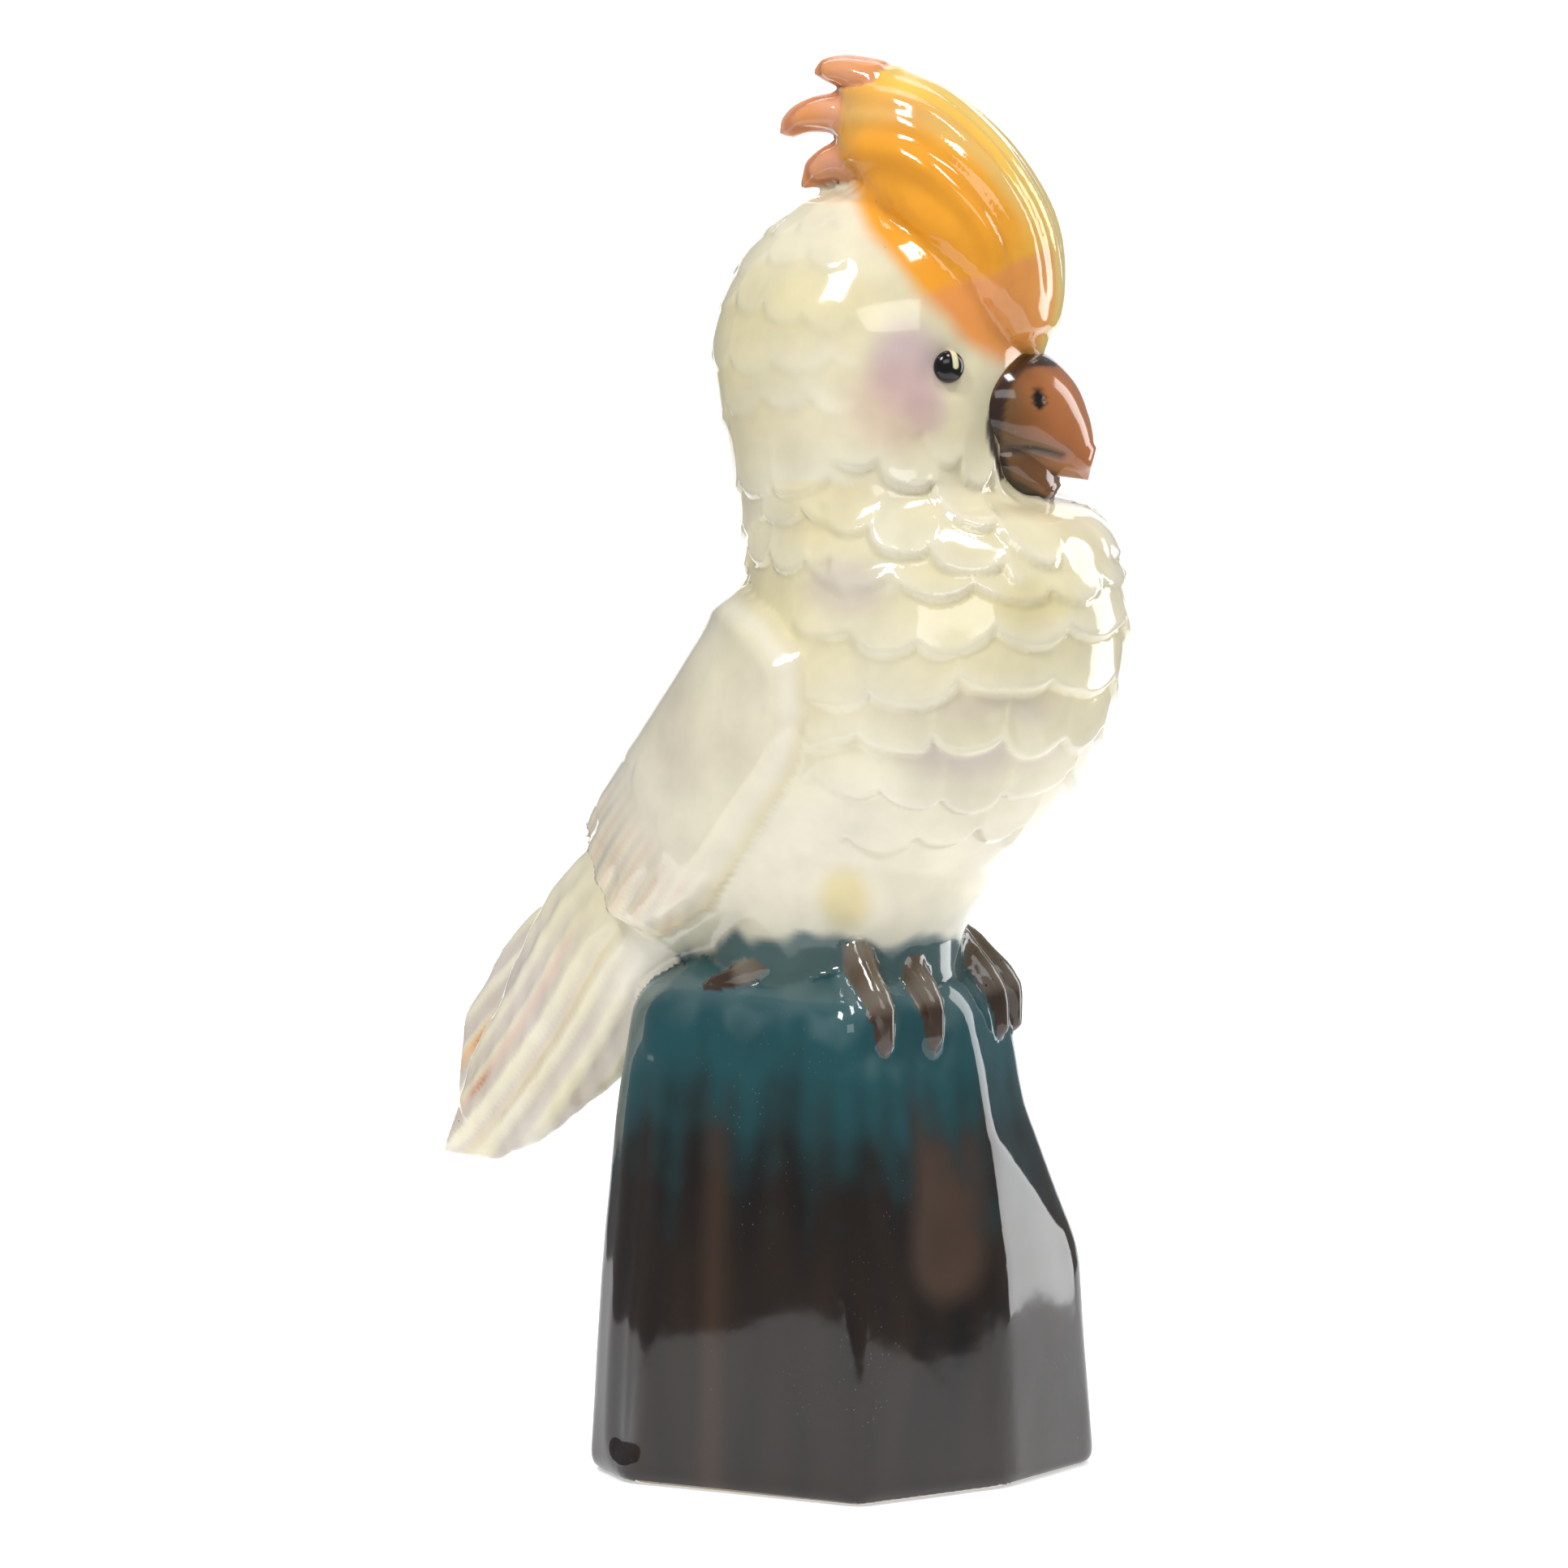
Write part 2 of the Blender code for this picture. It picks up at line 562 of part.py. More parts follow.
    def make_tail(self):
        """The tail and the flight feathers of each wing, which cross above it."""
        box = self.cutters
        tail = self.seat(limb_form("tail", TAIL_CORE, TAIL_CORE_POLES, 0.0, self.parts), "cream_glaze")
        right = limb_form("right_flight_feathers", RIGHT_FLIGHTS, RIGHT_FLIGHTS_POLES, 0.0, self.parts)
        self.seat(right, "cream_glaze")
        left = limb_form("left_flight_feathers", LEFT_FLIGHTS, LEFT_FLIGHTS_POLES, 0.0, self.parts)
        self.seat(left, "cream_glaze")
        right_room = self.hide(
            limb_form("right_flights_room", RIGHT_FLIGHTS, RIGHT_FLIGHTS_POLES, LUTE_GAP, box)
        )
        left_room = self.hide(limb_form("left_flights_room", LEFT_FLIGHTS, LEFT_FLIGHTS_POLES, LUTE_GAP, box))
        wings_room = self.hide(bird_form("wings_room", WING_RELIEF + LUTE_GAP, box))
        cut(right, wings_room, self.stump_room)
        cut(left, wings_room, self.stump_room)
        cut(tail, wings_room, self.stump_room, right_room, left_room)

    def make_crest(self):
        """The crest and its three curled plumes."""
        box = self.cutters
        crest = self.seat(limb_form("crest", CREST, CREST_POLES, 0.0, self.parts), "orange_glaze", True)
        crest_room = self.hide(limb_form("crest_room", CREST, CREST_POLES, LUTE_GAP, box), True)
        cut(crest, self.bird_room)
        plumes = (
            ("crest_plume_top", PLUME_TOP, PLUME_TOP_POLES),
            ("crest_plume_middle", PLUME_MIDDLE, PLUME_MIDDLE_POLES),
            ("crest_plume_low", PLUME_LOW, PLUME_LOW_POLES),
        )
        fitted = [crest_room, self.bird_room]
        for name, sections, poles in plumes:
            plume = self.seat(limb_form(name, sections, poles, 0.0, self.parts, 14), "orange_glaze", True)
            cut(plume, *fitted)
            fitted.append(self.hide(limb_form(name + "_room", sections, poles, LUTE_GAP, box, 14), True))

    def make_face(self):
        """The two mandibles and the eye beads."""
        upper = limb_form("upper_mandible", UPPER_MANDIBLE, UPPER_MANDIBLE_POLES, 0.0, self.parts)
        self.seat(upper, "brown_glaze", True)
        lower = limb_form("lower_mandible", LOWER_MANDIBLE, LOWER_MANDIBLE_POLES, 0.0, self.parts)
        self.seat(lower, "brown_glaze", True)
        upper_room = self.hide(
            limb_form("upper_mandible_room", UPPER_MANDIBLE, UPPER_MANDIBLE_POLES, LUTE_GAP, self.cutters),
            True,
        )
        crest_room = bpy.data.objects["crest_room"]
        cut(upper, self.bird_room, crest_room)
        cut(lower, self.bird_room, upper_room)
        for side, name in ((-1, "right_eye"), (1, "left_eye")):
            eye = self.seat(eye_form(name, side, self.parts), "black_enamel", True)
            cut(eye, self.bird_room)

    def make_feet(self):
        """Three toes on each foot: two over the stump's front edge and one back along its side."""
        ground = surface_of(self.stump_room)
        fitted = [self.stump_room, self.bird_room, self.breeches_room]
        for name, track in TOE_TRACKS.items():
            piece = self.seat(toe_form(name, track, ground, 0.0, self.parts), "brown_glaze")
            cut(piece, *fitted)
            fitted.append(self.hide(toe_form(name + "_room", track, ground, LUTE_GAP, self.cutters)))

    def build(self):
        """Every casting, in the order in which a potter would stand them up."""
        self.make_forms()
        self.make_stump()
        self.make_torso()
        self.make_head()
        self.make_wings()
        self.make_tail()
        self.make_crest()
        self.make_face()
        self.make_feet()


def main():
    for obj in list(bpy.data.objects):
        bpy.data.objects.remove(obj)
    Figurine().build()


main()
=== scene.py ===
"""Looks of a glazed porcelain cockatoo on a faceted stump, built around the fixed frame of its castings.

Every casting is modelled as a closed form, the forms are fused into one wet clay skin, the feathers are
pressed into it, the glazes are brushed on with painted shade and painted highlight among them, and the
skin is then parted along the potter's seams, one shell to a casting.
Lengths inside the classes are in millimetres from the stump's axis; the frame is in metres.
"""

from __future__ import annotations

import logging
import math
from dataclasses import dataclass
from enum import Enum

import bmesh
import bpy
import numpy as np
from mathutils import Matrix, Vector
from mathutils.bvhtree import BVHTree

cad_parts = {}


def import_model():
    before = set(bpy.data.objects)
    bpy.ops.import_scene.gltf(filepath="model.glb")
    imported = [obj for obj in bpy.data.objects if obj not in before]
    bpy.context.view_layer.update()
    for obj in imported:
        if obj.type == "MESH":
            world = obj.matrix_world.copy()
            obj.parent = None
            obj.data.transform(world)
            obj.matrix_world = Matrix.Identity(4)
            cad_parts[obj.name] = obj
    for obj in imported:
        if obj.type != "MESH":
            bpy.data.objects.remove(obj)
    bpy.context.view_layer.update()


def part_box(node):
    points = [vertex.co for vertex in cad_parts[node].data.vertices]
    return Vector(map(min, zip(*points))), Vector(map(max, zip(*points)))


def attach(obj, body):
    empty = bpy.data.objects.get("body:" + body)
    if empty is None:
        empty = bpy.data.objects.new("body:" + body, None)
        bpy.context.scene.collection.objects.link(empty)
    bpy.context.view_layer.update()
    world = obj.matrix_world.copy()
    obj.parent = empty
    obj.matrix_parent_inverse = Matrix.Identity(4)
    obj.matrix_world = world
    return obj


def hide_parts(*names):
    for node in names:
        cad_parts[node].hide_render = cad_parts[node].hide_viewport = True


LOG = logging.getLogger("cockatoo")
MM = 0.001
BODY = "root"
# The brushed colours, painted shade and painted highlight included
PAINT = "glaze_and_painted_light"
ACROSS = Vector((1.0, 0.0, 0.0))
Array = np.ndarray
Row = tuple[float, ...]
Tree = bpy.types.NodeTree
Socket = bpy.types.NodeSocket


class Side(Enum):
    """The bird's own sides; the value is the sign of x."""

    RIGHT = -1
    LEFT = 1


# ---------------------------------------------------------------- curves and fields


def smooth_track(rows: tuple[Row, ...], steps: int) -> list[Row]:
    """Puts new rows between the given ones, on a Catmull-Rom curve.

    Args:
        rows: Rows of equal length.
        steps: Spans that each given span is parted into.

    Returns:
        The longer list of rows, the given ones included.
    """
    track: list[Row] = []
    last = len(rows) - 1
    for index in range(last):
        quad = (rows[max(index - 1, 0)], rows[index], rows[index + 1], rows[min(index + 2, last)])
        for step in range(steps):
            t = step / steps
            track.append(tuple(catmull_rom(*values, t) for values in zip(*quad)))
    track.append(tuple(rows[last]))
    return track


def catmull_rom(a: float, b: float, c: float, d: float, t: float) -> float:
    """The value at share t of the way from b to c."""
    return 0.5 * (2 * b + (c - a) * t + (2 * a - 5 * b + 4 * c - d) * t * t + (3 * b - a - 3 * c + d) * t**3)


def ease(low: float, high: float, value: Array) -> Array:
    """A smooth rise from 0 at low to 1 at high; it falls where low is above high."""
    share = np.clip((value - low) / (high - low), 0.0, 1.0)
    return share * share * (3.0 - 2.0 * share)


def bell(distance: Array, reach: float) -> Array:
    """1 at no distance, fading to 0 at reach and beyond."""
    return ease(reach, 0.0, np.abs(distance))


def wobble(points: Array, size: float, seed: float) -> Array:
    """A soft three-way ripple over space.

    Args:
        points: Where the ripple is read.
        size: Distance from swell to swell, in millimetres.
        seed: Which ripple it is.

    Returns:
        A value between -1 and 1 at each point.
    """
    k = 2.0 * math.pi / size
    x, y, z = (points * k).T
    first = np.sin(x + seed + 1.3 * np.sin(0.71 * z + seed))
    second = np.sin(0.83 * y - 1.7 * seed + 1.1 * np.sin(0.63 * x))
    third = np.sin(0.77 * z + 2.3 * seed + 1.2 * np.sin(0.57 * y))
    return (first + second + third) / 3.0


def blob(points: Array, centre: Row, radii: Row) -> Array:
    """1 inside an ellipsoid's middle, fading to 0 at its surface."""
    distance = np.linalg.norm((points - np.array(centre)) / np.array(radii), axis=1)
    return ease(1.0, 0.35, distance)


def along(points: Array, line: Array) -> tuple[Array, Array, Array]:
    """How points lie beside a line of points.

    Args:
        points: Points to place.
        line: The line's own points, in order.

    Returns:
        Each point's distance from the line, its share of the way along it, and the nearest spot.
    """
    best = np.full(len(points), np.inf)
    share = np.zeros(len(points))
    spot = np.zeros_like(points)
    spans = len(line) - 1
    for index in range(spans):
        start, way = line[index], line[index + 1] - line[index]
        t = np.clip(((points - start) @ way) / (way @ way), 0.0, 1.0)
        near = start + t[:, None] * way
        distance = np.linalg.norm(points - near, axis=1)
        closer = distance < best
        best[closer] = distance[closer]
        share[closer] = (index + t[closer]) / spans
        spot[closer] = near[closer]
    return best, share, spot


def folded(points: Array) -> Array:
    """Points with those of the bird's left side mirrored to its right."""
    return np.column_stack((-np.abs(points[:, 0]), points[:, 1:]))


def mix(base: Array, colour: Row, weight: Array) -> Array:
    """The base colours with one colour laid over them by weight."""
    weight = np.clip(weight, 0.0, 1.0)[:, None]
    return base * (1.0 - weight) + np.array(colour) * weight


def flat(points: Array, colour: Row) -> Array:
    """One colour for every point."""
    return np.tile(colour, (len(points), 1))


def dabbed(tone: Array, spots: Array, dabs: tuple[tuple[Row, float, Row, Row], ...]) -> Array:
    """Lays soft round dabs over a tone.

    Args:
        tone: Colour of each point.
        spots: The points, folded to the bird's right.
        dabs: Colour, weight, centre and radii of each dab.

    Returns:
        The new colours.
    """
    for colour, weight, centre, radii in dabs:
        tone = mix(tone, colour, weight * blob(spots, centre, radii))
    return tone


def column(items: bpy.types.bpy_prop_collection, name: str, width: int = 1, kind: type = np.int32) -> Array:
    """Reads one property of every item of a mesh.

    Args:
        items: Vertices, edges, loops, faces or an attribute's data.
        name: The property.
        width: Numbers to an item.
        kind: The numbers' type.

    Returns:
        One row to an item, or one number where width is 1.
    """
    numbers = np.empty(len(items) * width, kind)
    items.foreach_get(name, numbers)
    return numbers if width == 1 else numbers.reshape(-1, width)


# ---------------------------------------------------------------- forms


def start_ring(bm: bmesh.types.BMesh, segments: int) -> tuple[list, list]:
    """Adds a unit circle, and returns its vertices and its edges."""
    ring = bmesh.ops.create_circle(bm, segments=segments, radius=1.0)["verts"]
    return ring, list(dict.fromkeys(edge for vert in ring for edge in vert.link_edges))


def draw_out(bm: bmesh.types.BMesh, edges: list) -> tuple[list, list]:
    """Extrudes edges where they stand.

    Args:
        bm: The mesh.
        edges: Its edges to extrude.

    Returns:
        The new vertices and the new edges.
    """
    made = bmesh.ops.extrude_edge_only(bm, edges=edges)["geom"]
    verts = [item for item in made if isinstance(item, bmesh.types.BMVert)]
    return verts, [item for item in made if isinstance(item, bmesh.types.BMEdge)]


def round_edges(bm: bmesh.types.BMesh, offset: float, segments: int) -> None:
    """Bevels every edge of a mesh.

    Args:
        bm: The mesh.
        offset: How far the bevel reaches from each edge.
        segments: Faces across the bevel.
    """
    bmesh.ops.bevel(
        bm, geom=list(bm.edges), offset=offset, segments=segments, profile=0.5,
        affect="EDGES", clamp_overlap=True, material=-1,
    )


def ellipse_at(centre: Vector, side: Vector, deep: Vector, half_side: float, half_deep: float) -> Matrix:
    """The matrix from a unit circle in XY to an ellipse.

    Args:
        centre: The ellipse's middle.
        side: Unit direction of its first axis.
        deep: Unit direction of its second axis.
        half_side: Half of its first axis.
        half_deep: Half of its second axis.

    Returns:
        The matrix.
    """
    matrix = Matrix((side * half_side, deep * half_deep, side.cross(deep))).transposed().to_4x4()
    matrix.translation = centre
    return matrix


def loft(bm: bmesh.types.BMesh, rings: list[Matrix], poles: tuple[Vector, Vector], segments: int) -> None:
    """Adds a closed form through ellipses, drawn to a point at each pole.

    Args:
        bm: The mesh that takes the form.
        rings: Matrices that carry a unit circle to each ellipse, in order.
        poles: The points beyond the first and the last ring.
        segments: Points round each ring.
    """
    ring, edges = start_ring(bm, segments)
    bmesh.ops.transform(bm, matrix=rings[0], verts=ring)
    close_to_pole(bm, edges, poles[0])
    for before, after in zip(rings, rings[1:]):
        ring, edges = draw_out(bm, edges)
        bmesh.ops.transform(bm, matrix=after @ before.inverted(), verts=ring)
    close_to_pole(bm, edges, poles[1])


def close_to_pole(bm: bmesh.types.BMesh, edges: list, pole: Vector) -> None:
    """Draws a ring of edges out to one point."""
    bmesh.ops.pointmerge(bm, verts=draw_out(bm, edges)[0], merge_co=pole)


@dataclass(frozen=True)
class Limb:
    """A tapering closed form along a line, such as a tail feather, a plume or a toe.

    Attributes:
        rows: x, y, z of each section's centre, half width and half thickness.
        poles: The points beyond the first and last sections.
        steps: Spans between two given sections.
        segments: Points round a section.
    """

    rows: tuple[Row, ...]
    poles: tuple[Row, Row]
    steps: int = 6
    segments: int = 40

    def track(self) -> list[Row]:
        """The smoothed sections."""
        return smooth_track(self.rows, self.steps)

    def line(self) -> Array:
        """The centre line as points, poles included."""
        centres = [row[:3] for row in self.track()]
        return np.array([self.poles[0], *centres, self.poles[1]])

    def add(self, bm: bmesh.types.BMesh, turn: Matrix = Matrix.Identity(4)) -> None:
        """Adds the form to a mesh.

        Args:
            bm: The mesh that takes the form.
            turn: Where the limb's own space stands.
        """
        rows = self.track()
        line = [Vector(point) for point in self.line()]
        rings = []
        for index, row in enumerate(rows):
            way = (line[index + 2] - line[index]).normalized()
            side = (ACROSS - way * ACROSS.dot(way)).normalized()
            rings.append(turn @ ellipse_at(Vector(row[:3]), side, way.cross(side), row[3], row[4]))
        poles = (turn @ Vector(self.poles[0]), turn @ Vector(self.poles[1]))
        loft(bm, rings, poles, self.segments)

    def mesh(self, turn: Matrix = Matrix.Identity(4)) -> bmesh.types.BMesh:
        """Makes a new mesh of the form, with the limb's own space standing where turn puts it."""
        bm = bmesh.new()
        self.add(bm, turn)
        return bm


def mesh_object(name: str, bm: bmesh.types.BMesh, origin: Vector, unit: float = MM) -> bpy.types.Object:
    """Makes a smooth shaded object from a mesh about the stump's axis.

    Args:
        name: The object's name.
        bm: The mesh, which is freed.
        origin: Where the stump's axis meets the foot's plane, in metres.
        unit: The mesh's own unit, in metres.

    Returns:
        The object, at the scene's origin, with its place in its mesh.
    """
    bmesh.ops.transform(bm, matrix=Matrix.Translation(origin) @ Matrix.Scale(unit, 4), verts=bm.verts)
    mesh = bpy.data.meshes.new(name)
    bm.to_mesh(mesh)
    bm.free()
    mesh.shade_smooth()
    obj = bpy.data.objects.new(name, mesh)
    bpy.context.scene.collection.objects.link(obj)
    return obj


# ---------------------------------------------------------------- colours


class Glaze:
    """The potter's palette, as linear colours; MILK and STRAW are also laid on as painted highlight, MAUVE as
    painted shade.
    """

    CREAM: Row = (0.80, 0.72, 0.45)
    MILK: Row = (0.84, 0.78, 0.64)
    STRAW: Row = (0.76, 0.62, 0.25)
    MAUVE: Row = (0.58, 0.49, 0.46)
    LILAC: Row = (0.50, 0.31, 0.46)
    ROSE: Row = (0.70, 0.43, 0.37)
    SKY: Row = (0.55, 0.62, 0.66)
    YELLOW: Row = (0.92, 0.58, 0.10)
    AMBER: Row = (0.90, 0.37, 0.024)
    SALMON: Row = (0.84, 0.32, 0.085)
    RUST: Row = (0.50, 0.14, 0.035)
    BEAK: Row = (0.15, 0.060, 0.014)
    UMBER: Row = (0.030, 0.013, 0.008)
    TEAL: Row = (0.012, 0.066, 0.076)
    PALE_TEAL: Row = (0.085, 0.150, 0.160)
    BARK: Row = (0.0065, 0.0042, 0.0034)
    SCOOP: Row = (0.070, 0.042, 0.029)
    INK: Row = (0.004, 0.003, 0.004)


# ---------------------------------------------------------------- where things stand


@dataclass(frozen=True)
class Stand:
    """Where the stump's axis and the turned head stand in the frame.

    Attributes:
        origin: Where the stump's axis meets the foot's plane, in metres.
        head: The turned head's own space, in millimetres from the stump's axis.
        yaw: How far the head turns to the bird's left.
    """

    origin: Vector
    head: Matrix
    yaw: float

    CHEST_REACH = 33.57
    HEAD_AXIS = Vector((0.0, -5.0, 0.0))
    HEAD_YAW = math.radians(18.0)

    @classmethod
    def from_frame(cls) -> Stand:
        """Reads the stump's axis from the torso's box: it is midway across, behind the breast.

        Returns:
            The stand.
        """
        low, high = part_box("torso")
        origin = Vector(((low.x + high.x) / 2, low.y + cls.CHEST_REACH * MM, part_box("stump")[0].z))
        head = Matrix.Translation(cls.HEAD_AXIS) @ Matrix.Rotation(cls.HEAD_YAW, 4, "Z")
        return cls(origin, head, cls.HEAD_YAW)

    def in_head(self, points: Array) -> Array:
        """Points in the head's own space: x to its left, -y ahead of the beak."""
        inverse = np.array(self.head.inverted())
        return points @ inverse[:3, :3].T + inverse[:3, 3]

    def point(self, x: float, y: float, z: float) -> Vector:
        """A point of the frame, in metres, from millimetres off the stump's axis."""
        return self.origin + Vector((x, y, z)) * MM


class Clay:
    """One wet skin over every form, as arrays of points that the castings press and paint.

    Attributes:
        points: Vertex positions, in millimetres from the stump's axis.
        normals: Outward unit normals of the vertices.
        paint: Linear colour of each vertex.
        relief: How proud each vertex's feather stands, from 0 in a hollow to 1 on a lip.
        owner: Index of the casting that each face belongs to.
        edges: The two vertices of each edge.
        corners: The four vertices of each face.
        mesh: The fused skin as it came, for its faces.
    """

    VOXEL = 0.5
    DRAFT_VOXEL = 0.8
    RELAX_PASSES = 14
    SETTLE_PASSES = 2
    SHRINK, SWELL = 0.5, -0.52

    def __init__(self) -> None:
        """Starts with no clay."""
        self.form = bmesh.new()
        self.points = np.zeros((0, 3))
        self.normals = np.zeros((0, 3))
        self.paint = np.zeros((0, 3))
        self.relief = np.zeros(0)
        self.owner = np.zeros(0, int)
        self.edges = np.zeros((0, 2), int)
        self.corners = np.zeros((0, 4), int)
        self.mesh: bpy.types.Mesh | None = None

    def fuse(self) -> None:
        """Fuses the added forms into one closed skin of even quads."""
        bmesh.ops.recalc_face_normals(self.form, faces=self.form.faces)
        rough = bpy.data.meshes.new("wet_clay")
        self.form.to_mesh(rough)
        self.form.free()
        lump = bpy.data.objects.new("wet_clay", rough)
        bpy.context.scene.collection.objects.link(lump)
        remesh = lump.modifiers.new("even_quads", "REMESH")
        remesh.mode = "VOXEL"
        remesh.voxel_size = self.VOXEL
        graph = bpy.context.evaluated_depsgraph_get()
        self.mesh = bpy.data.meshes.new_from_object(lump.evaluated_get(graph))
        bpy.data.objects.remove(lump)
        self.points = column(self.mesh.vertices, "co", 3, np.float32).astype(float)
        self.edges = column(self.mesh.edges, "vertices", 2)
        self.corners = column(self.mesh.loops, "vertex_index").reshape(-1, 4)
        self.relief = np.zeros(len(self.points))
        self.paint = flat(self.points, Glaze.CREAM)
        LOG.info("clay skin: %d vertices, %d faces", len(self.points), len(self.corners))

    def relax(self, passes: int, weight: Array) -> None:
        """Evens the skin out without letting it shrink.

        Args:
            passes: Pairs of a shrinking and a swelling step.
            weight: How far each vertex may move, from 0 to 1.
        """
        count = len(self.points)
        first, second = self.edges.T
        links = np.bincount(first, minlength=count) + np.bincount(second, minlength=count)
        for step in [self.SHRINK, self.SWELL] * passes:
            pull = np.empty_like(self.points)
            for axis in range(3):
                place = self.points[:, axis]
                total = np.bincount(first, place[second], count) + np.bincount(second, place[first], count)
                pull[:, axis] = total / links - place
            self.points += step * weight[:, None] * pull

    def measure(self) -> None:
        """Works out the vertex normals."""
        quad = self.points[self.corners]
        faces = np.cross(quad[:, 2] - quad[:, 0], quad[:, 3] - quad[:, 1])
        normals = np.zeros_like(self.points)
        for corner in range(4):
            for axis in range(3):
                normals[:, axis] += np.bincount(self.corners[:, corner], faces[:, axis], len(normals))
        self.normals = normals / np.maximum(np.linalg.norm(normals, axis=1), 1e-9)[:, None]

    def centres(self) -> Array:
        """The middle of each face."""
        return self.points[self.corners].mean(axis=1)

    def part(self, index: int, name: str, wall: float, origin: Vector) -> bpy.types.Object:
        """Cuts one casting's patch out of the skin and gives it a wall.

        Args:
            index: The casting's number in owner.
            name: The new object's name.
            wall: Thickness of the shell, in millimetres, laid inside the skin.
            origin: Where the stump's axis meets the foot's plane, in metres.

        Returns:
            A closed shell whose outer face keeps the shading of the whole skin, so that seams don't show.
        """
        bm = bmesh.new()
        bm.from_mesh(self.mesh)
        bm.verts.ensure_lookup_table()
        serial = bm.verts.layers.int.new("serial")
        colour = bm.verts.layers.float_color.new(PAINT)
        inner = bm.faces.layers.int.new("inner")
        for number, vert in enumerate(bm.verts):
            vert.co = self.points[number]
            vert[serial] = number
            vert[colour] = (*self.paint[number], self.relief[number])
        others = [face for number, face in enumerate(bm.faces) if self.owner[number] != index]
        bmesh.ops.delete(bm, geom=others, context="FACES")
        outside = set(bm.faces)
        made = bmesh.ops.extrude_face_region(bm, geom=list(bm.faces), use_keep_orig=True)["geom"]
        for vert in (item for item in made if isinstance(item, bmesh.types.BMVert)):
            vert.co = Vector(self.points[vert[serial]] - self.normals[vert[serial]] * wall)
        for face in bm.faces:
            face[inner] = face not in outside
        bmesh.ops.recalc_face_normals(bm, faces=bm.faces)
        obj = mesh_object(name, bm, origin)
        shade_as_skin(obj.data, self.normals)
        return obj


@dataclass
class Patch:
    """The vertices of the skin that one casting presses and paints.

    Attributes:
        clay: The skin.
        mine: Whether each of its vertices is the casting's.
        stand: Where head and stump stand.
    """

    clay: Clay
    mine: Array
    stand: Stand

    @property
    def spots(self) -> Array:
        """Their places, in millimetres from the stump's axis."""
        return self.clay.points[self.mine]

    @property
    def head_spots(self) -> Array:
        """Their places in the head's space."""
        return self.stand.in_head(self.spots)

    @property
    def normals(self) -> Array:
        """Their outward normals."""
        return self.clay.normals[self.mine]

    @property
    def relief(self) -> Array:
        """How proud their feathers stand, from 0 in a hollow to 1 on a lip."""
        return self.clay.relief[self.mine]

    @relief.setter
    def relief(self, share: Array) -> None:
        """Keeps how proud their feathers stand."""
        self.clay.relief[self.mine] = share

    def press(self, height: Array) -> None:
        """Moves them out along their normals, by a height in millimetres each."""
        self.clay.points[self.mine] += self.normals * height[:, None]

    def paint(self, tone: Array) -> None:
        """Gives them their colours."""
        self.clay.paint[self.mine] = tone


def shade_as_skin(mesh: bpy.types.Mesh, normals: Array) -> None:
    """Gives the outer faces the skin's normals, and lets rim and lining shade for themselves.

    Args:
        mesh: A shell that carries the serial and inner attributes; both are removed.
        normals: The skin's vertex normals, by serial.
    """
    serial = column(mesh.attributes["serial"].data, "value")
    inner = column(mesh.attributes["inner"].data, "value")
    corner = column(mesh.loops, "vertex_index")
    sizes = column(mesh.polygons, "loop_total")
    facing = column(mesh.polygons, "normal", 3, np.float32)
    face = np.repeat(np.arange(len(sizes)), sizes)
    shade = np.where(inner[face][:, None] == 1, facing[face], normals[serial[corner]])
    for name in ("serial", "inner"):
        mesh.attributes.remove(mesh.attributes[name])
    mesh.normals_split_custom_set([tuple(row) for row in shade])


# ---------------------------------------------------------------- feathers


@dataclass(frozen=True)
class Shingles:
    """Rows of overlapping rounded feathers, on a chart of distances across and up.

    Attributes:
        width: Width of one feather.
        pitch: Distance from one row of lips to the next.
        dip: How much lower a lip hangs in its middle than at its sides.
        fade: Distance over which a feather thins towards its root.
        start: Where the topmost row's lips hang.
        rows: How many rows there are.
        tilt: How far the rows climb with distance across, in radians.
        soft: Half of the distance over which a lip rises.
    """

    width: float
    pitch: float
    dip: float
    fade: float
    start: float
    rows: int
    tilt: float = 0.0
    soft: float = 0.55

    def height(self, across: Array, up: Array) -> Array:
        """How high the topmost feather stands.

        Args:
            across: Distance across the chart, in millimetres.
            up: Distance up the chart.

        Returns:
            The share of a feather's full height at each point.
        """
        turned = math.cos(self.tilt) * across + math.sin(self.tilt) * up
        raised = math.cos(self.tilt) * up - math.sin(self.tilt) * across
        best = np.zeros(len(up))
        for row in range(self.rows):
            phase = turned / self.width + 0.5 * (row % 2)
            phase += 0.17 * np.sin(2.3 * row + 0.8 * turned / self.width)
            inside = 2.0 * (phase - np.floor(phase)) - 1.0
            sag = self.dip * (1.0 - np.sqrt(np.clip(1.0 - inside * inside, 0.0, 1.0)))
            sway = 0.16 * self.pitch * np.sin(turned / 5.3 + 1.9 * row)
            over = raised - (self.start - row * self.pitch + sag + sway)
            feather = ease(-self.soft, self.soft, over) * np.exp(-np.maximum(over, 0.0) / self.fade)
            best = np.maximum(best, feather)
        return best


def around(points: Array, middle: float, radius: float) -> tuple[Array, Array]:
    """How far round the bird points lie from its front, signed by side, in millimetres and in radians.

    Args:
        points: Points in the torso's or the head's space.
        middle: y of the axis that the angle is taken about.
        radius: What the angle is multiplied by.

    Returns:
        The distance and the angle of each point.
    """
    angle = np.arctan2(points[:, 0], middle - points[:, 1])
    return angle * radius, angle


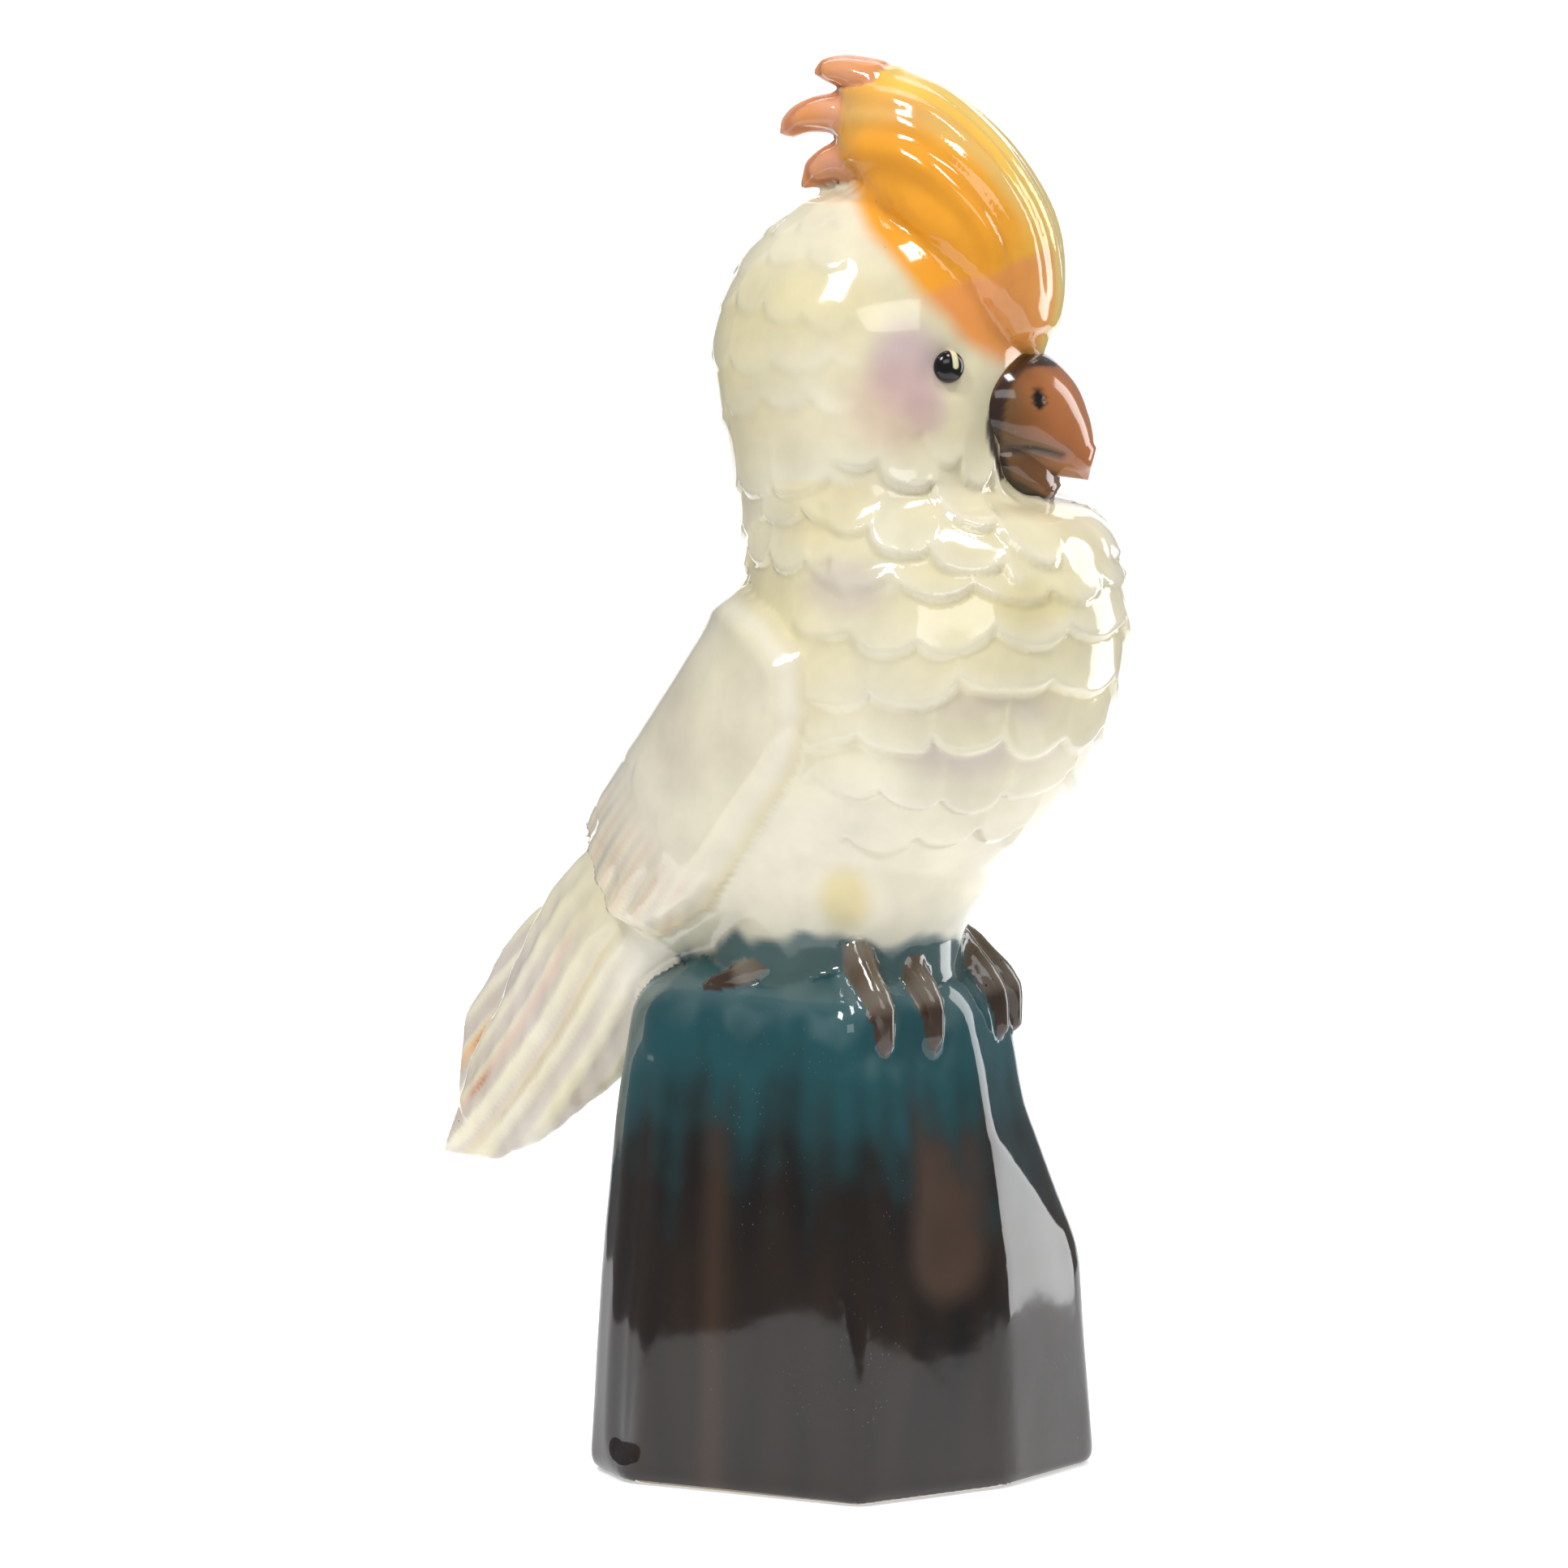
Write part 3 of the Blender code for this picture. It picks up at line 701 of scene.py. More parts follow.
def inside_outline(across: Array, up: Array, outline: tuple[Row, ...]) -> Array:
    """Measures points against a closed outline.

    Args:
        across: The points' first coordinates.
        up: Their second coordinates.
        outline: The outline's corners, in order.

    Returns:
        Each point's distance from the outline, above 0 inside it.
    """
    corners = np.array(outline)
    best = np.full(len(across), np.inf)
    inside = np.zeros(len(across), bool)
    for start, end in zip(corners, np.roll(corners, -1, axis=0)):
        way = end - start
        t = np.clip(((across - start[0]) * way[0] + (up - start[1]) * way[1]) / (way @ way), 0.0, 1.0)
        best = np.minimum(best, np.hypot(across - start[0] - t * way[0], up - start[1] - t * way[1]))
        if start[1] != end[1]:
            crosses = (start[1] > up) != (end[1] > up)
            inside ^= crosses & (across < start[0] + way[0] * (up - start[1]) / way[1])
    return np.where(inside, best, -best)


# ---------------------------------------------------------------- castings


@dataclass
class Casting:
    """One casting of the figurine: its closed form, what is pressed into it and how it is glazed.

    Attributes:
        node: The CAD node that it stands for.
        slot: The material slot that it takes its finish from.
        wall: Thickness of its shell.
    """

    node: str
    slot: str
    wall: float = 0.7

    def forms(self, stand: Stand) -> bmesh.types.BMesh:
        """The casting's own closed forms, for fusing and for telling which faces are its own."""
        return bmesh.new()

    def owns(self, spots: Array) -> Array | None:
        """Which of the torso's face centres a casting without forms takes over; None for the rest."""
        return None

    def press(self, patch: Patch) -> None:
        """Presses the casting's relief into the skin.

        Args:
            patch: The casting's own part of the skin.
        """

    def brush(self, patch: Patch) -> None:
        """Brushes the casting's glazes on, with any painted shade and highlight.

        Args:
            patch: The casting's own part of the skin.
        """


@dataclass
class Torso(Casting):
    """The torso: breast, belly, back and breeches."""

    sections: tuple[Row, ...] = (
        (25.5, 60.0, 8.0, 8.0, 48.0, 0.0),
        (17.0, 65.5, 13.5, 14.2, 34.0, 0.0),
        (5.8, 73.0, 18.2, 20.2, 22.0, 0.0),
        (-4.4, 84.0, 21.0, 22.6, 17.0, 0.0),
        (-9.8, 93.0, 21.2, 22.6, 12.0, 0.0),
        (-12.0, 100.5, 20.4, 21.8, 8.0, 0.1),
        (-11.0, 106.5, 19.2, 21.2, 3.0, 0.3),
        (-9.4, 109.4, 18.4, 19.9, 0.0, 0.5),
        (-6.0, 112.2, 18.0, 17.0, 0.0, 0.7),
        (-4.8, 117.0, 17.6, 17.0, 0.0, 0.9),
        (-4.4, 122.0, 17.6, 17.8, 0.0, 1.0),
        (-4.2, 128.0, 17.6, 18.3, 0.0, 1.0),
        (-4.4, 134.0, 16.2, 17.2, 0.0, 1.0),
        (-4.8, 140.0, 12.8, 14.2, 0.0, 1.0),
        (-5.0, 144.5, 8.0, 9.2, 0.0, 1.0),
    )
    RUMP, CROWN = Vector((0.0, 31.5, 54.5)), Vector((0.0, -5.0, 147.5))
    breeches: Limb = Limb(
        ((0, 1, 54, 14, 15.2), (0, 1, 64, 14.6, 15.6), (0, -1, 74, 17, 17.5), (0, -3, 82, 12, 12)),
        ((0, 1, 50), (0, -3, 86)),
        segments=64,
    )
    breast: Shingles = Shingles(7.85, 5.6, 2.3, 4.6, 101.0, 6)
    back: Shingles = Shingles(7.85, 6.2, 2.6, 5.0, 101.0, 6)
    nape: Shingles = Shingles(7.85, 4.7, 2.0, 3.8, 112.6, 3)
    cheek: Shingles = Shingles(7.4, 6.4, 3.0, 4.4, 100.4, 4, math.radians(24.0))
    dabs: tuple[tuple[Row, float, Row, Row], ...] = (
        # The mauve dab is painted shade on the neck's side under the cheek; the straw dabs are the glaze's
        # own yellow.
        (Glaze.MAUVE, 0.50, (-19.5, -11.5, 102.5), (5.0, 7.5, 4.5)),
        (Glaze.STRAW, 0.40, (-9.5, -30.0, 101.0), (9.0, 6.0, 3.2)),
        (Glaze.STRAW, 0.70, (-13.5, -8.0, 67.0), (4.0, 4.0, 6.5)),
        (Glaze.STRAW, 0.35, (-19.0, -8.0, 112.0), (6.0, 9.0, 9.0)),
    )

    def forms(self, stand: Stand) -> bmesh.types.BMesh:
        """The trunk's lofted sections and the breeches.

        Args:
            stand: Where head and stump stand.

        Returns:
            A mesh of closed forms.
        """
        bm = bmesh.new()
        rings = []
        for y, z, half_side, half_deep, pitch, share in smooth_track(self.sections, 8):
            yaw = Matrix.Rotation(share * stand.yaw, 3, "Z")
            lean = math.radians(pitch)
            deep = yaw @ Vector((0.0, -math.cos(lean), -math.sin(lean)))
            centre = stand.HEAD_AXIS + yaw @ (Vector((0.0, y, z)) - stand.HEAD_AXIS)
            rings.append(ellipse_at(centre, yaw @ ACROSS, deep, half_side, half_deep))
        loft(bm, rings, (self.RUMP, self.CROWN), 96)
        self.breeches.add(bm)
        return bm

    @classmethod
    def feathers(cls, points: Array) -> Array:
        """The feathers of breast, back, nape and cheeks.

        Args:
            points: Points of the skin, also the head's.

        Returns:
            How proud the feathers stand at each, from 0 to 1.
        """
        sway = 0.9 * wobble(points, 23.0, 4.0) + 0.45 * wobble(points, 8.0, 9.0)
        spots = points + sway[:, None]
        across, angle = around(spots, -8.0, 20.0)
        up, turn = spots[:, 2], np.abs(angle)
        breast = cls.breast.height(across, up) * ease(2.0, 1.15, turn) * ease(70.0, 78.0, up)
        breast *= ease(107.0, 102.0, up)
        back = cls.back.height(across, up) * ease(2.2, 2.7, turn)
        back *= ease(66.0, 74.0, up) * ease(104.0, 100.0, up)
        nape = 0.85 * cls.nape.height(across, up) * ease(1.25, 1.7, turn) * ease(97.0, 101.0, up)
        cheek = cls.cheek.height(np.abs(across), up) * ease(1.85, 1.35, turn) * ease(99.0, 103.5, up)
        cheek *= ease(0.05, 0.35, turn) * ease(124.0, 113.0, up)
        return np.maximum.reduce([breast, back, nape, cheek])

    @classmethod
    def plumage(cls, spots: Array, lip: Array) -> Array:
        """The cream ground of head and body: whiter on the lips as painted highlight, yellower in the
        hollows.

        Args:
            spots: Points of the skin.
            lip: How proud the feathers stand there.

        Returns:
            The colour of each.
        """
        tone = mix(flat(spots, Glaze.CREAM), Glaze.MILK, 0.45 + 0.45 * wobble(spots, 31.0, 1.0))
        tone = mix(tone, Glaze.MILK, 0.5 * ease(84.0, 74.0, spots[:, 2]))
        tone = mix(tone, Glaze.STRAW, 0.24 * ease(0.55, 0.05, lip) * ease(76.0, 88.0, spots[:, 2]))
        # Painted highlight: milk laid along the feathers' lips.
        return mix(tone, Glaze.MILK, 0.6 * ease(0.55, 0.95, lip))

    def press(self, patch: Patch) -> None:
        """Raises the feathers.

        Args:
            patch: The casting's own part of the skin.
        """
        patch.relief = self.feathers(patch.spots)
        height = 1.05 * patch.relief - 0.3
        patch.press(height)

    def brush(self, patch: Patch) -> None:
        """Brushes the plumage with painted shade in the breast's hollows, and the teal that bleeds up from
        the stump.

        Args:
            patch: The casting's own part of the skin.
        """
        spots = patch.spots
        near = folded(spots)
        lip = patch.relief
        tone = self.plumage(spots, lip)
        # Painted shade: mauve laid over the breast's hollows below the ruff, away from the feathers' lips.
        hollow = 0.75 * blob(near, (-13.0, -26.0, 85.5), (18.0, 13.0, 8.5)) * ease(0.75, 0.15, lip)
        tone = dabbed(mix(tone, Glaze.MAUVE, hollow), near, self.dabs)
        bleed = spots[:, 2] + 1.1 * wobble(spots, 9.0, 7.0) + 0.7 * wobble(spots, 3.7, 2.0)
        slope = 61.6 - 0.34 * np.maximum(spots[:, 1] - 6.0, 0.0)
        # The pale teal band above the teal line is partly thin teal and partly painted shade under the belly.
        tone = mix(tone, Glaze.PALE_TEAL, 0.30 * ease(7.0, 0.5, bleed - slope))
        tone = mix(tone, Glaze.TEAL, 0.92 * ease(1.2, -0.5, bleed - slope))
        patch.paint(tone)


@dataclass
class Head(Casting):
    """The head, from the neck's seam up: cream, with a lilac blush behind the eyes."""

    seam: float = 114.0
    scales: Shingles = Shingles(6.4, 5.2, 2.2, 4.0, 141.5, 5)
    dabs: tuple[tuple[Row, float, Row, Row], ...] = (
        (Glaze.STRAW, 0.30, (-12.0, 3.0, 133.0), (9.0, 9.0, 6.0)),
        (Glaze.LILAC, 0.55, (-15.4, -6.0, 126.6), (7.0, 6.0, 7.0)),
        (Glaze.LILAC, 0.34, (-15.8, -8.4, 121.8), (5.0, 3.4, 3.4)),
        (Glaze.ROSE, 0.42, (-16.2, -4.8, 122.5), (6.0, 7.5, 7.0)),
    )

    def owns(self, spots: Array) -> Array | None:
        """Everything above the neck's seam."""
        return spots[:, 2] > self.seam

    def press(self, patch: Patch) -> None:
        """Raises nape, crown, cheek and the tuft behind it, and sinks the eye's socket.

        Args:
            patch: The casting's own part of the skin.
        """
        spots = patch.head_spots
        spots[:, 2] += 0.8 * wobble(spots, 21.0, 2.0)
        across, angle = around(spots, 0.0, 17.0)
        scales = self.scales.height(across, spots[:, 2]) * ease(1.3, 1.9, np.abs(angle))
        near = folded(spots)
        socket = blob(near, (-13.6, -10.4, 126.6), (4.6, 4.6, 4.6))
        cheek = blob(near, (-15.5, -7.5, 119.5), (9.0, 9.0, 8.0))
        tip = blob(near, (-16.5, 3.0, 119.0), (5.0, 6.5, 5.5))
        below = Torso.feathers(patch.spots)
        patch.relief = np.maximum(below, 0.8 * scales)
        height = 1.05 * below - 0.3 + 0.36 * scales - 0.45 * socket + 0.35 * cheek + 0.5 * tip
        patch.press(height)

    def brush(self, patch: Patch) -> None:
        """Brushes the plumage, the blush, the crest's edge and the beak's outline.

        Args:
            patch: The casting's own part of the skin.
        """
        spots = patch.head_spots
        near = folded(spots)
        tone = Torso.plumage(patch.spots, patch.relief)
        tone = mix(tone, Glaze.MILK, 0.45 * ease(134.0, 142.0, spots[:, 2]))
        tone = dabbed(tone, near, self.dabs)
        outline_far, _, _ = along(near, np.array(smooth_track(Mandible.base, 4)))
        cover = Crest.cover(spots)[:, None]
        tone = tone * (1.0 - cover) + Crest.tones(spots, np.full(len(spots), 0.5)) * cover
        patch.paint(mix(tone, Glaze.UMBER, 0.95 * ease(0.95, 0.55, outline_far)))


@dataclass(kw_only=True)
class Wing(Casting):
    """One folded wing, standing proud of the torso, with its coverts over the flight feathers."""

    side: Side

    outline: tuple[Row, ...] = (
        (6.0, 101.5), (-1.5, 99.0), (-6.8, 94.5), (-7.6, 88.0), (-5.6, 82.0), (-1.0, 76.5), (4.0, 70.5),
        (9.0, 65.5), (17.0, 61.5), (26.0, 61.5), (36.0, 67.0), (36.0, 85.0), (20.0, 100.0),
    )
    midline: float = 1.0
    proud: float = 1.9
    coverts: Shingles = Shingles(6.6, 7.0, 2.6, 6.0, 4.0, 3)
    shoulder: Row = (6.0, 101.5)
    LONG = Vector((0.67, -0.74))
    vane: float = 3.1

    def depth(self, spots: Array) -> Array:
        """How far inside the wing's outline points lie, below 0 outside it."""
        inside = inside_outline(spots[:, 1], spots[:, 2], self.outline)
        return np.minimum(inside, spots[:, 0] * self.side.value - self.midline)

    def owns(self, spots: Array) -> Array | None:
        """Everything inside the outline."""
        return self.depth(spots) > 0.0

    def quills(self, spots: Array) -> tuple[Array, Array]:
        """Distance along the flight feathers from the shoulder, and across them from the back's edge."""
        y, z = spots[:, 1] - self.shoulder[0], spots[:, 2] - self.shoulder[1]
        return y * self.LONG.x + z * self.LONG.y, y * self.LONG.y - z * self.LONG.x

    def press(self, patch: Patch) -> None:
        """Lifts the wing off the body, with its coverts and quills.

        Args:
            patch: The casting's own part of the skin.
        """
        spots = patch.spots
        depth = self.depth(spots)
        far, width = self.quills(spots)
        coverts = self.coverts.height(width, 30.0 - far) * ease(10.0, 20.0, far) * 0.35
        vanes = 0.5 + 0.5 * np.sin(width * 2.0 * math.pi / self.vane + 0.4 * np.sin(far / 5.0))
        vanes *= ease(27.0, 34.0, far)
        height = self.proud * ease(-1.0, 3.6, depth)
        height = height + (0.5 * coverts + 0.4 * vanes) * ease(0.5, 3.0, depth)
        height += 0.20 * bell(depth - 3.0, 2.4)
        patch.relief = np.clip(0.4 + 0.3 * vanes + coverts, 0.0, 1.0)
        patch.press(height)

    def brush(self, patch: Patch) -> None:
        """Brushes the wing milky, with rose and mauve strokes along its quills, the mauve partly painted
        shade in their grooves, and a painted highlight along its raised edge.

        Args:
            patch: The casting's own part of the skin.
        """
        spots = patch.spots
        depth = self.depth(spots)
        far, width = self.quills(spots)
        tone = mix(flat(spots, Glaze.MILK), Glaze.CREAM, 0.45 + 0.5 * wobble(spots, 24.0, 6.0))
        tone = mix(tone, Glaze.MAUVE, 0.16 + 0.14 * wobble(spots, 15.0, 2.0))
        low = ease(24.0, 32.0, far) * ease(46.0, 40.0, far)
        strokes = np.sin(width * 2.0 * math.pi / self.vane + 0.6 * np.sin(far / 4.0))
        tone = mix(tone, Glaze.ROSE, 0.40 * low * ease(0.35, 1.0, strokes))
        # The mauve falls in the grooves between the quills: partly stripe colour, partly painted shade.
        tone = mix(tone, Glaze.MAUVE, 0.45 * low * ease(-0.35, -1.0, strokes))
        tone = mix(tone, Glaze.SKY, 0.55 * ease(38.0, 42.0, far) * ease(2.0, 6.0, depth + 4.0))
        tone = mix(tone, Glaze.STRAW, 0.22 * bell(depth + 0.2, 1.3))
        # Painted highlight: a whiter band along the wing's raised edge.
        tone = mix(tone, Glaze.MILK, 0.6 * bell(depth - 1.6, 1.2))
        patch.paint(tone)


@dataclass(kw_only=True)
class Feather(Casting):
    """A casting made of one limb in the torso's space: the tail's core or a wing's flight feathers."""

    limb: Limb
    vane: float = 3.0
    blush: Row = Glaze.ROSE

    def forms(self, stand: Stand) -> bmesh.types.BMesh:
        """The blade."""
        return self.limb.mesh()

    def lines(self, spots: Array) -> tuple[Array, Array]:
        """Places points along the blade and square to its spine.

        Args:
            spots: The points.

        Returns:
            Their share of the way along it, and their distance across it.
        """
        _, share, spot = along(spots, self.limb.line())
        away = spots - spot
        return share, away @ np.array([0.1, 0.66, 0.74])

    def press(self, patch: Patch) -> None:
        """Raises the spine, vanes and barbs.

        Args:
            patch: The casting's own part of the skin.
        """
        share, across = self.lines(patch.spots)
        ridge = bell(across - 1.0, 1.7)
        vanes = 0.5 + 0.5 * np.cos(across * 2.0 * math.pi / self.vane)
        barbs = np.sin(across * 2.1 + share * 64.0)
        height = 0.55 * ridge + 0.35 * vanes + 0.05 * barbs
        height *= ease(0.15, 0.3, share) * ease(1.0, 0.9, share)
        patch.relief = vanes
        patch.press(height)

    def brush(self, patch: Patch) -> None:
        """Brushes the blade milky, with painted shade in mauve between the vanes, a coloured spine and a
        rusty tip.

        Args:
            patch: The casting's own part of the skin.
        """
        spots = patch.spots
        share, across = self.lines(spots)
        tone = mix(flat(spots, Glaze.MILK), Glaze.CREAM, 0.35 + 0.5 * wobble(spots, 14.0, 5.0))
        # Painted shade: mauve in the grooves between the vanes.
        tone = mix(tone, Glaze.MAUVE, 0.62 * ease(0.15, 0.5, share) * ease(0.9, 0.2, patch.relief))
        tone = mix(tone, self.blush, 0.55 * bell(across - 2.6, 1.0) * ease(0.2, 0.4, share))
        tone = mix(tone, Glaze.STRAW, 0.35 * bell(across + 1.8, 0.9) * ease(0.15, 0.3, share))
        tone = mix(tone, Glaze.RUST, 0.75 * bell(across - 2.4, 0.6) * bell(share - 0.8, 0.1))
        patch.paint(tone)


@dataclass
class Crest(Casting):
    """The combed-back crest: yellow along its brow, partly as painted light where the brow faces the light,
    amber at its side, salmon below, with painted highlights in straw along brow and ridge.
    """

    rows: tuple[Row, ...] = (
        (0, -16.2, 129.4, 7, 3.9), (0, -15.2, 134, 10.4, 5.8), (0, -12.6, 140, 12.4, 7.6),
        (0, -7.8, 145.6, 12, 8.6), (0, -2.4, 151.4, 9.4, 7.7), (0, 1.6, 155.6, 5.6, 5.2),
    )
    poles: tuple[Row, Row] = ((0, -18, 125.8), (0, 5, 158))
    edge: tuple[Row, ...] = (
        (2.5, 147.5), (1.2, 144.5), (-2.0, 140.6), (-4.9, 137.3), (-9.3, 132.4), (-12.2, 129.2),
        (-14.8, 127.0), (-16.8, 126.6), (-18.4, 127.4), (-30.0, 127.0), (-30.0, 170.0), (12.0, 170.0),
        (8.0, 149.0),
    )
    brow: tuple[Row, ...] = (
        (0, -20.5, 128), (0, -21.6, 134), (0, -20, 141), (0, -16.2, 147.5), (0, -10, 153.6), (0, -3, 158),
    )

    def forms(self, stand: Stand) -> bmesh.types.BMesh:
        """The crest's lofted sections."""
        return Limb(self.rows, self.poles, 8, 64).mesh(stand.head)

    @classmethod
    def chart(cls, spots: Array) -> tuple[Array, Array]:
        """Distance back from the brow's ridge, and the share of the way up that ridge."""
        return along(spots, np.array(smooth_track(cls.brow, 4)))[:2]

    def press(self, patch: Patch) -> None:
        """Combs the grooves, the ridge and the fine strands into it.

        Args:
            patch: The casting's own part of the skin.
        """
        spots = patch.head_spots
        back, share = self.chart(spots)
        sweep = back - 2.0 * np.sin(share * 3.0)
        groove = bell(sweep - 12.6, 1.7) + 0.8 * bell(sweep - 15.8, 1.4) + 0.5 * bell(sweep - 9.4, 1.2)
        ridge = bell(sweep - 6.6, 2.2)
        strands = np.sin(sweep * 2.0 * math.pi / 2.6 + 1.1 * np.sin(share * 5.0))
        top = ease(0.12, 0.5, share)
        height = (0.55 * ridge - 0.75 * groove + 0.13 * strands) * top
        patch.relief = np.clip(0.5 + 0.4 * ridge - 0.5 * groove, 0.0, 1.0) * top
        patch.press(height)

    @classmethod
    def cover(cls, spots: Array) -> Array:
        """How fully the crest's colours cover points in the head's space."""
        edge = inside_outline(spots[:, 1] + 0.5 * wobble(spots, 7.0, 1.0), spots[:, 2], cls.edge)
        return ease(-1.3, 1.1, edge)

    @classmethod
    def tones(cls, spots: Array, relief: Array) -> Array:
        """The crest's colours, with its painted highlights, also where they run on to the head.

        Args:
            spots: Points in the head's space.
            relief: How proud the crest stands there.

        Returns:
            The colour of each.
        """
        back, share = cls.chart(spots)
        low = spots[:, 2] + 0.35 * (back - 8.0) + 0.9 * wobble(spots, 9.0, 3.0)
        edge = back + 1.2 * wobble(spots, 8.0, 2.0)
        # The yellow towards the brow is partly painted light on the lit front; the straw along the brow and
        # along the ridge is painted highlight.
        tone = mix(flat(spots, Glaze.AMBER), Glaze.YELLOW, ease(12.5, 3.5, edge))
        tone = mix(tone, Glaze.STRAW, 0.75 * ease(5.0, 0.0, back) * ease(0.0, 0.3, share))
        tone = mix(tone, Glaze.STRAW, 0.45 * bell(back - 8.6, 1.6) * ease(0.35, 0.6, share))
        tone = mix(tone, Glaze.SALMON, 0.85 * ease(139.2, 137.6, low) * ease(2.0, 5.0, back))
        tone = mix(tone, Glaze.SALMON, 0.5 * ease(150.0, 157.0, spots[:, 2]) * ease(4.0, 9.0, back))
        return mix(tone, Glaze.AMBER, 0.6 * ease(0.45, 0.1, relief) * ease(139.0, 142.0, low))

    def brush(self, patch: Patch) -> None:
        """Brushes the crest's colours over the head's cream.

        Args:
            patch: The casting's own part of the skin.
        """
        spots = patch.head_spots
        cover = self.cover(spots)[:, None]
        cream = mix(flat(spots, Glaze.CREAM), Glaze.MILK, 0.35 + 0.4 * wobble(spots, 27.0, 3.0))
        patch.paint(cream * (1.0 - cover) + self.tones(spots, patch.relief) * cover)


@dataclass(kw_only=True)
class Plume(Casting):
    """One curled tip of the crest, salmon with a pale ridge."""

    limb: Limb

    def forms(self, stand: Stand) -> bmesh.types.BMesh:
        """The curl."""
        return self.limb.mesh(stand.head)

    def press(self, patch: Patch) -> None:
        """Sinks a groove on each side of the ridge.

        Args:
            patch: The casting's own part of the skin.
        """
        spots = patch.head_spots
        groove = bell(np.abs(spots[:, 0]) - 1.5, 0.9)
        patch.relief = 1.0 - groove
        patch.press(-0.28 * groove)

    def brush(self, patch: Patch) -> None:
        """Brushes it salmon, rusty in the grooves.

        Args:
            patch: The casting's own part of the skin.
        """
        spots = patch.head_spots
        tone = mix(flat(spots, Glaze.SALMON), Glaze.ROSE, 0.3 + 0.3 * wobble(spots, 6.0, 1.0))
        tone = mix(tone, Glaze.RUST, 0.55 * ease(0.7, 0.1, patch.relief))
        patch.paint(tone)


@dataclass(kw_only=True)
class Toe(Casting):
    """One toe laid over the stump's crown, with a dark claw."""

    track: tuple[Row, ...]

    lift: float = 0.35
    skin: Row = (0.105, 0.075, 0.045)
    joint_highlight: Row = (0.16, 0.13, 0.10)

    def forms(self, stand: Stand) -> bmesh.types.BMesh:
        """The toe, laid over the crown."""
        return self.laid().mesh()

    def laid(self) -> Limb:
        """The toe as a limb that lies on the stump.

        Returns:
            The limb, in the torso's space.
        """
        bed = Stump.surface()
        rows = []
        for x, y, z, half in smooth_track(self.track, 4):
            spot, normal, _, _ = bed.find_nearest(Vector((x, y, z)))
            rows.append((*(spot + normal * (self.lift * half)), half, half))
        start, end = Vector(rows[0][:3]), Vector(rows[-1][:3])
        before = start + (start - Vector(rows[1][:3])).normalized() * rows[0][3]
        after = end + (end - Vector(rows[-2][:3])).normalized() * rows[-1][3]
        return Limb(tuple(rows), (tuple(before), tuple(after)), 1, 20)

    def share(self, spots: Array) -> Array:
        """The share of the way along the toe at each point."""
        return along(spots, np.array([row[:3] for row in self.laid().rows]))[1]

    def press(self, patch: Patch) -> None:
        """Raises the joints' wrinkles.

        Args:
            patch: The casting's own part of the skin.
        """
        share = self.share(patch.spots)
        joints = 0.5 + 0.5 * np.cos(share * 2.0 * math.pi * 3.0)
        patch.relief = joints
        patch.press(0.16 * joints * ease(0.8, 0.6, share))

    def brush(self, patch: Patch) -> None:
        """Brushes the toe brown, lighter on the raised joints as painted highlight, with a dark claw.

        Args:
            patch: The casting's own part of the skin.
        """
        spots = patch.spots
        share = self.share(spots)
        # Painted highlight: lighter grey-brown on the raised joints.
        tone = mix(flat(spots, self.skin), self.joint_highlight, patch.relief)
        tone = mix(tone, Glaze.PALE_TEAL, 0.25 * ease(0.3, 0.0, share))
        tone = mix(tone, Glaze.UMBER, 0.8 * ease(0.72, 0.8, share))
        patch.paint(tone)


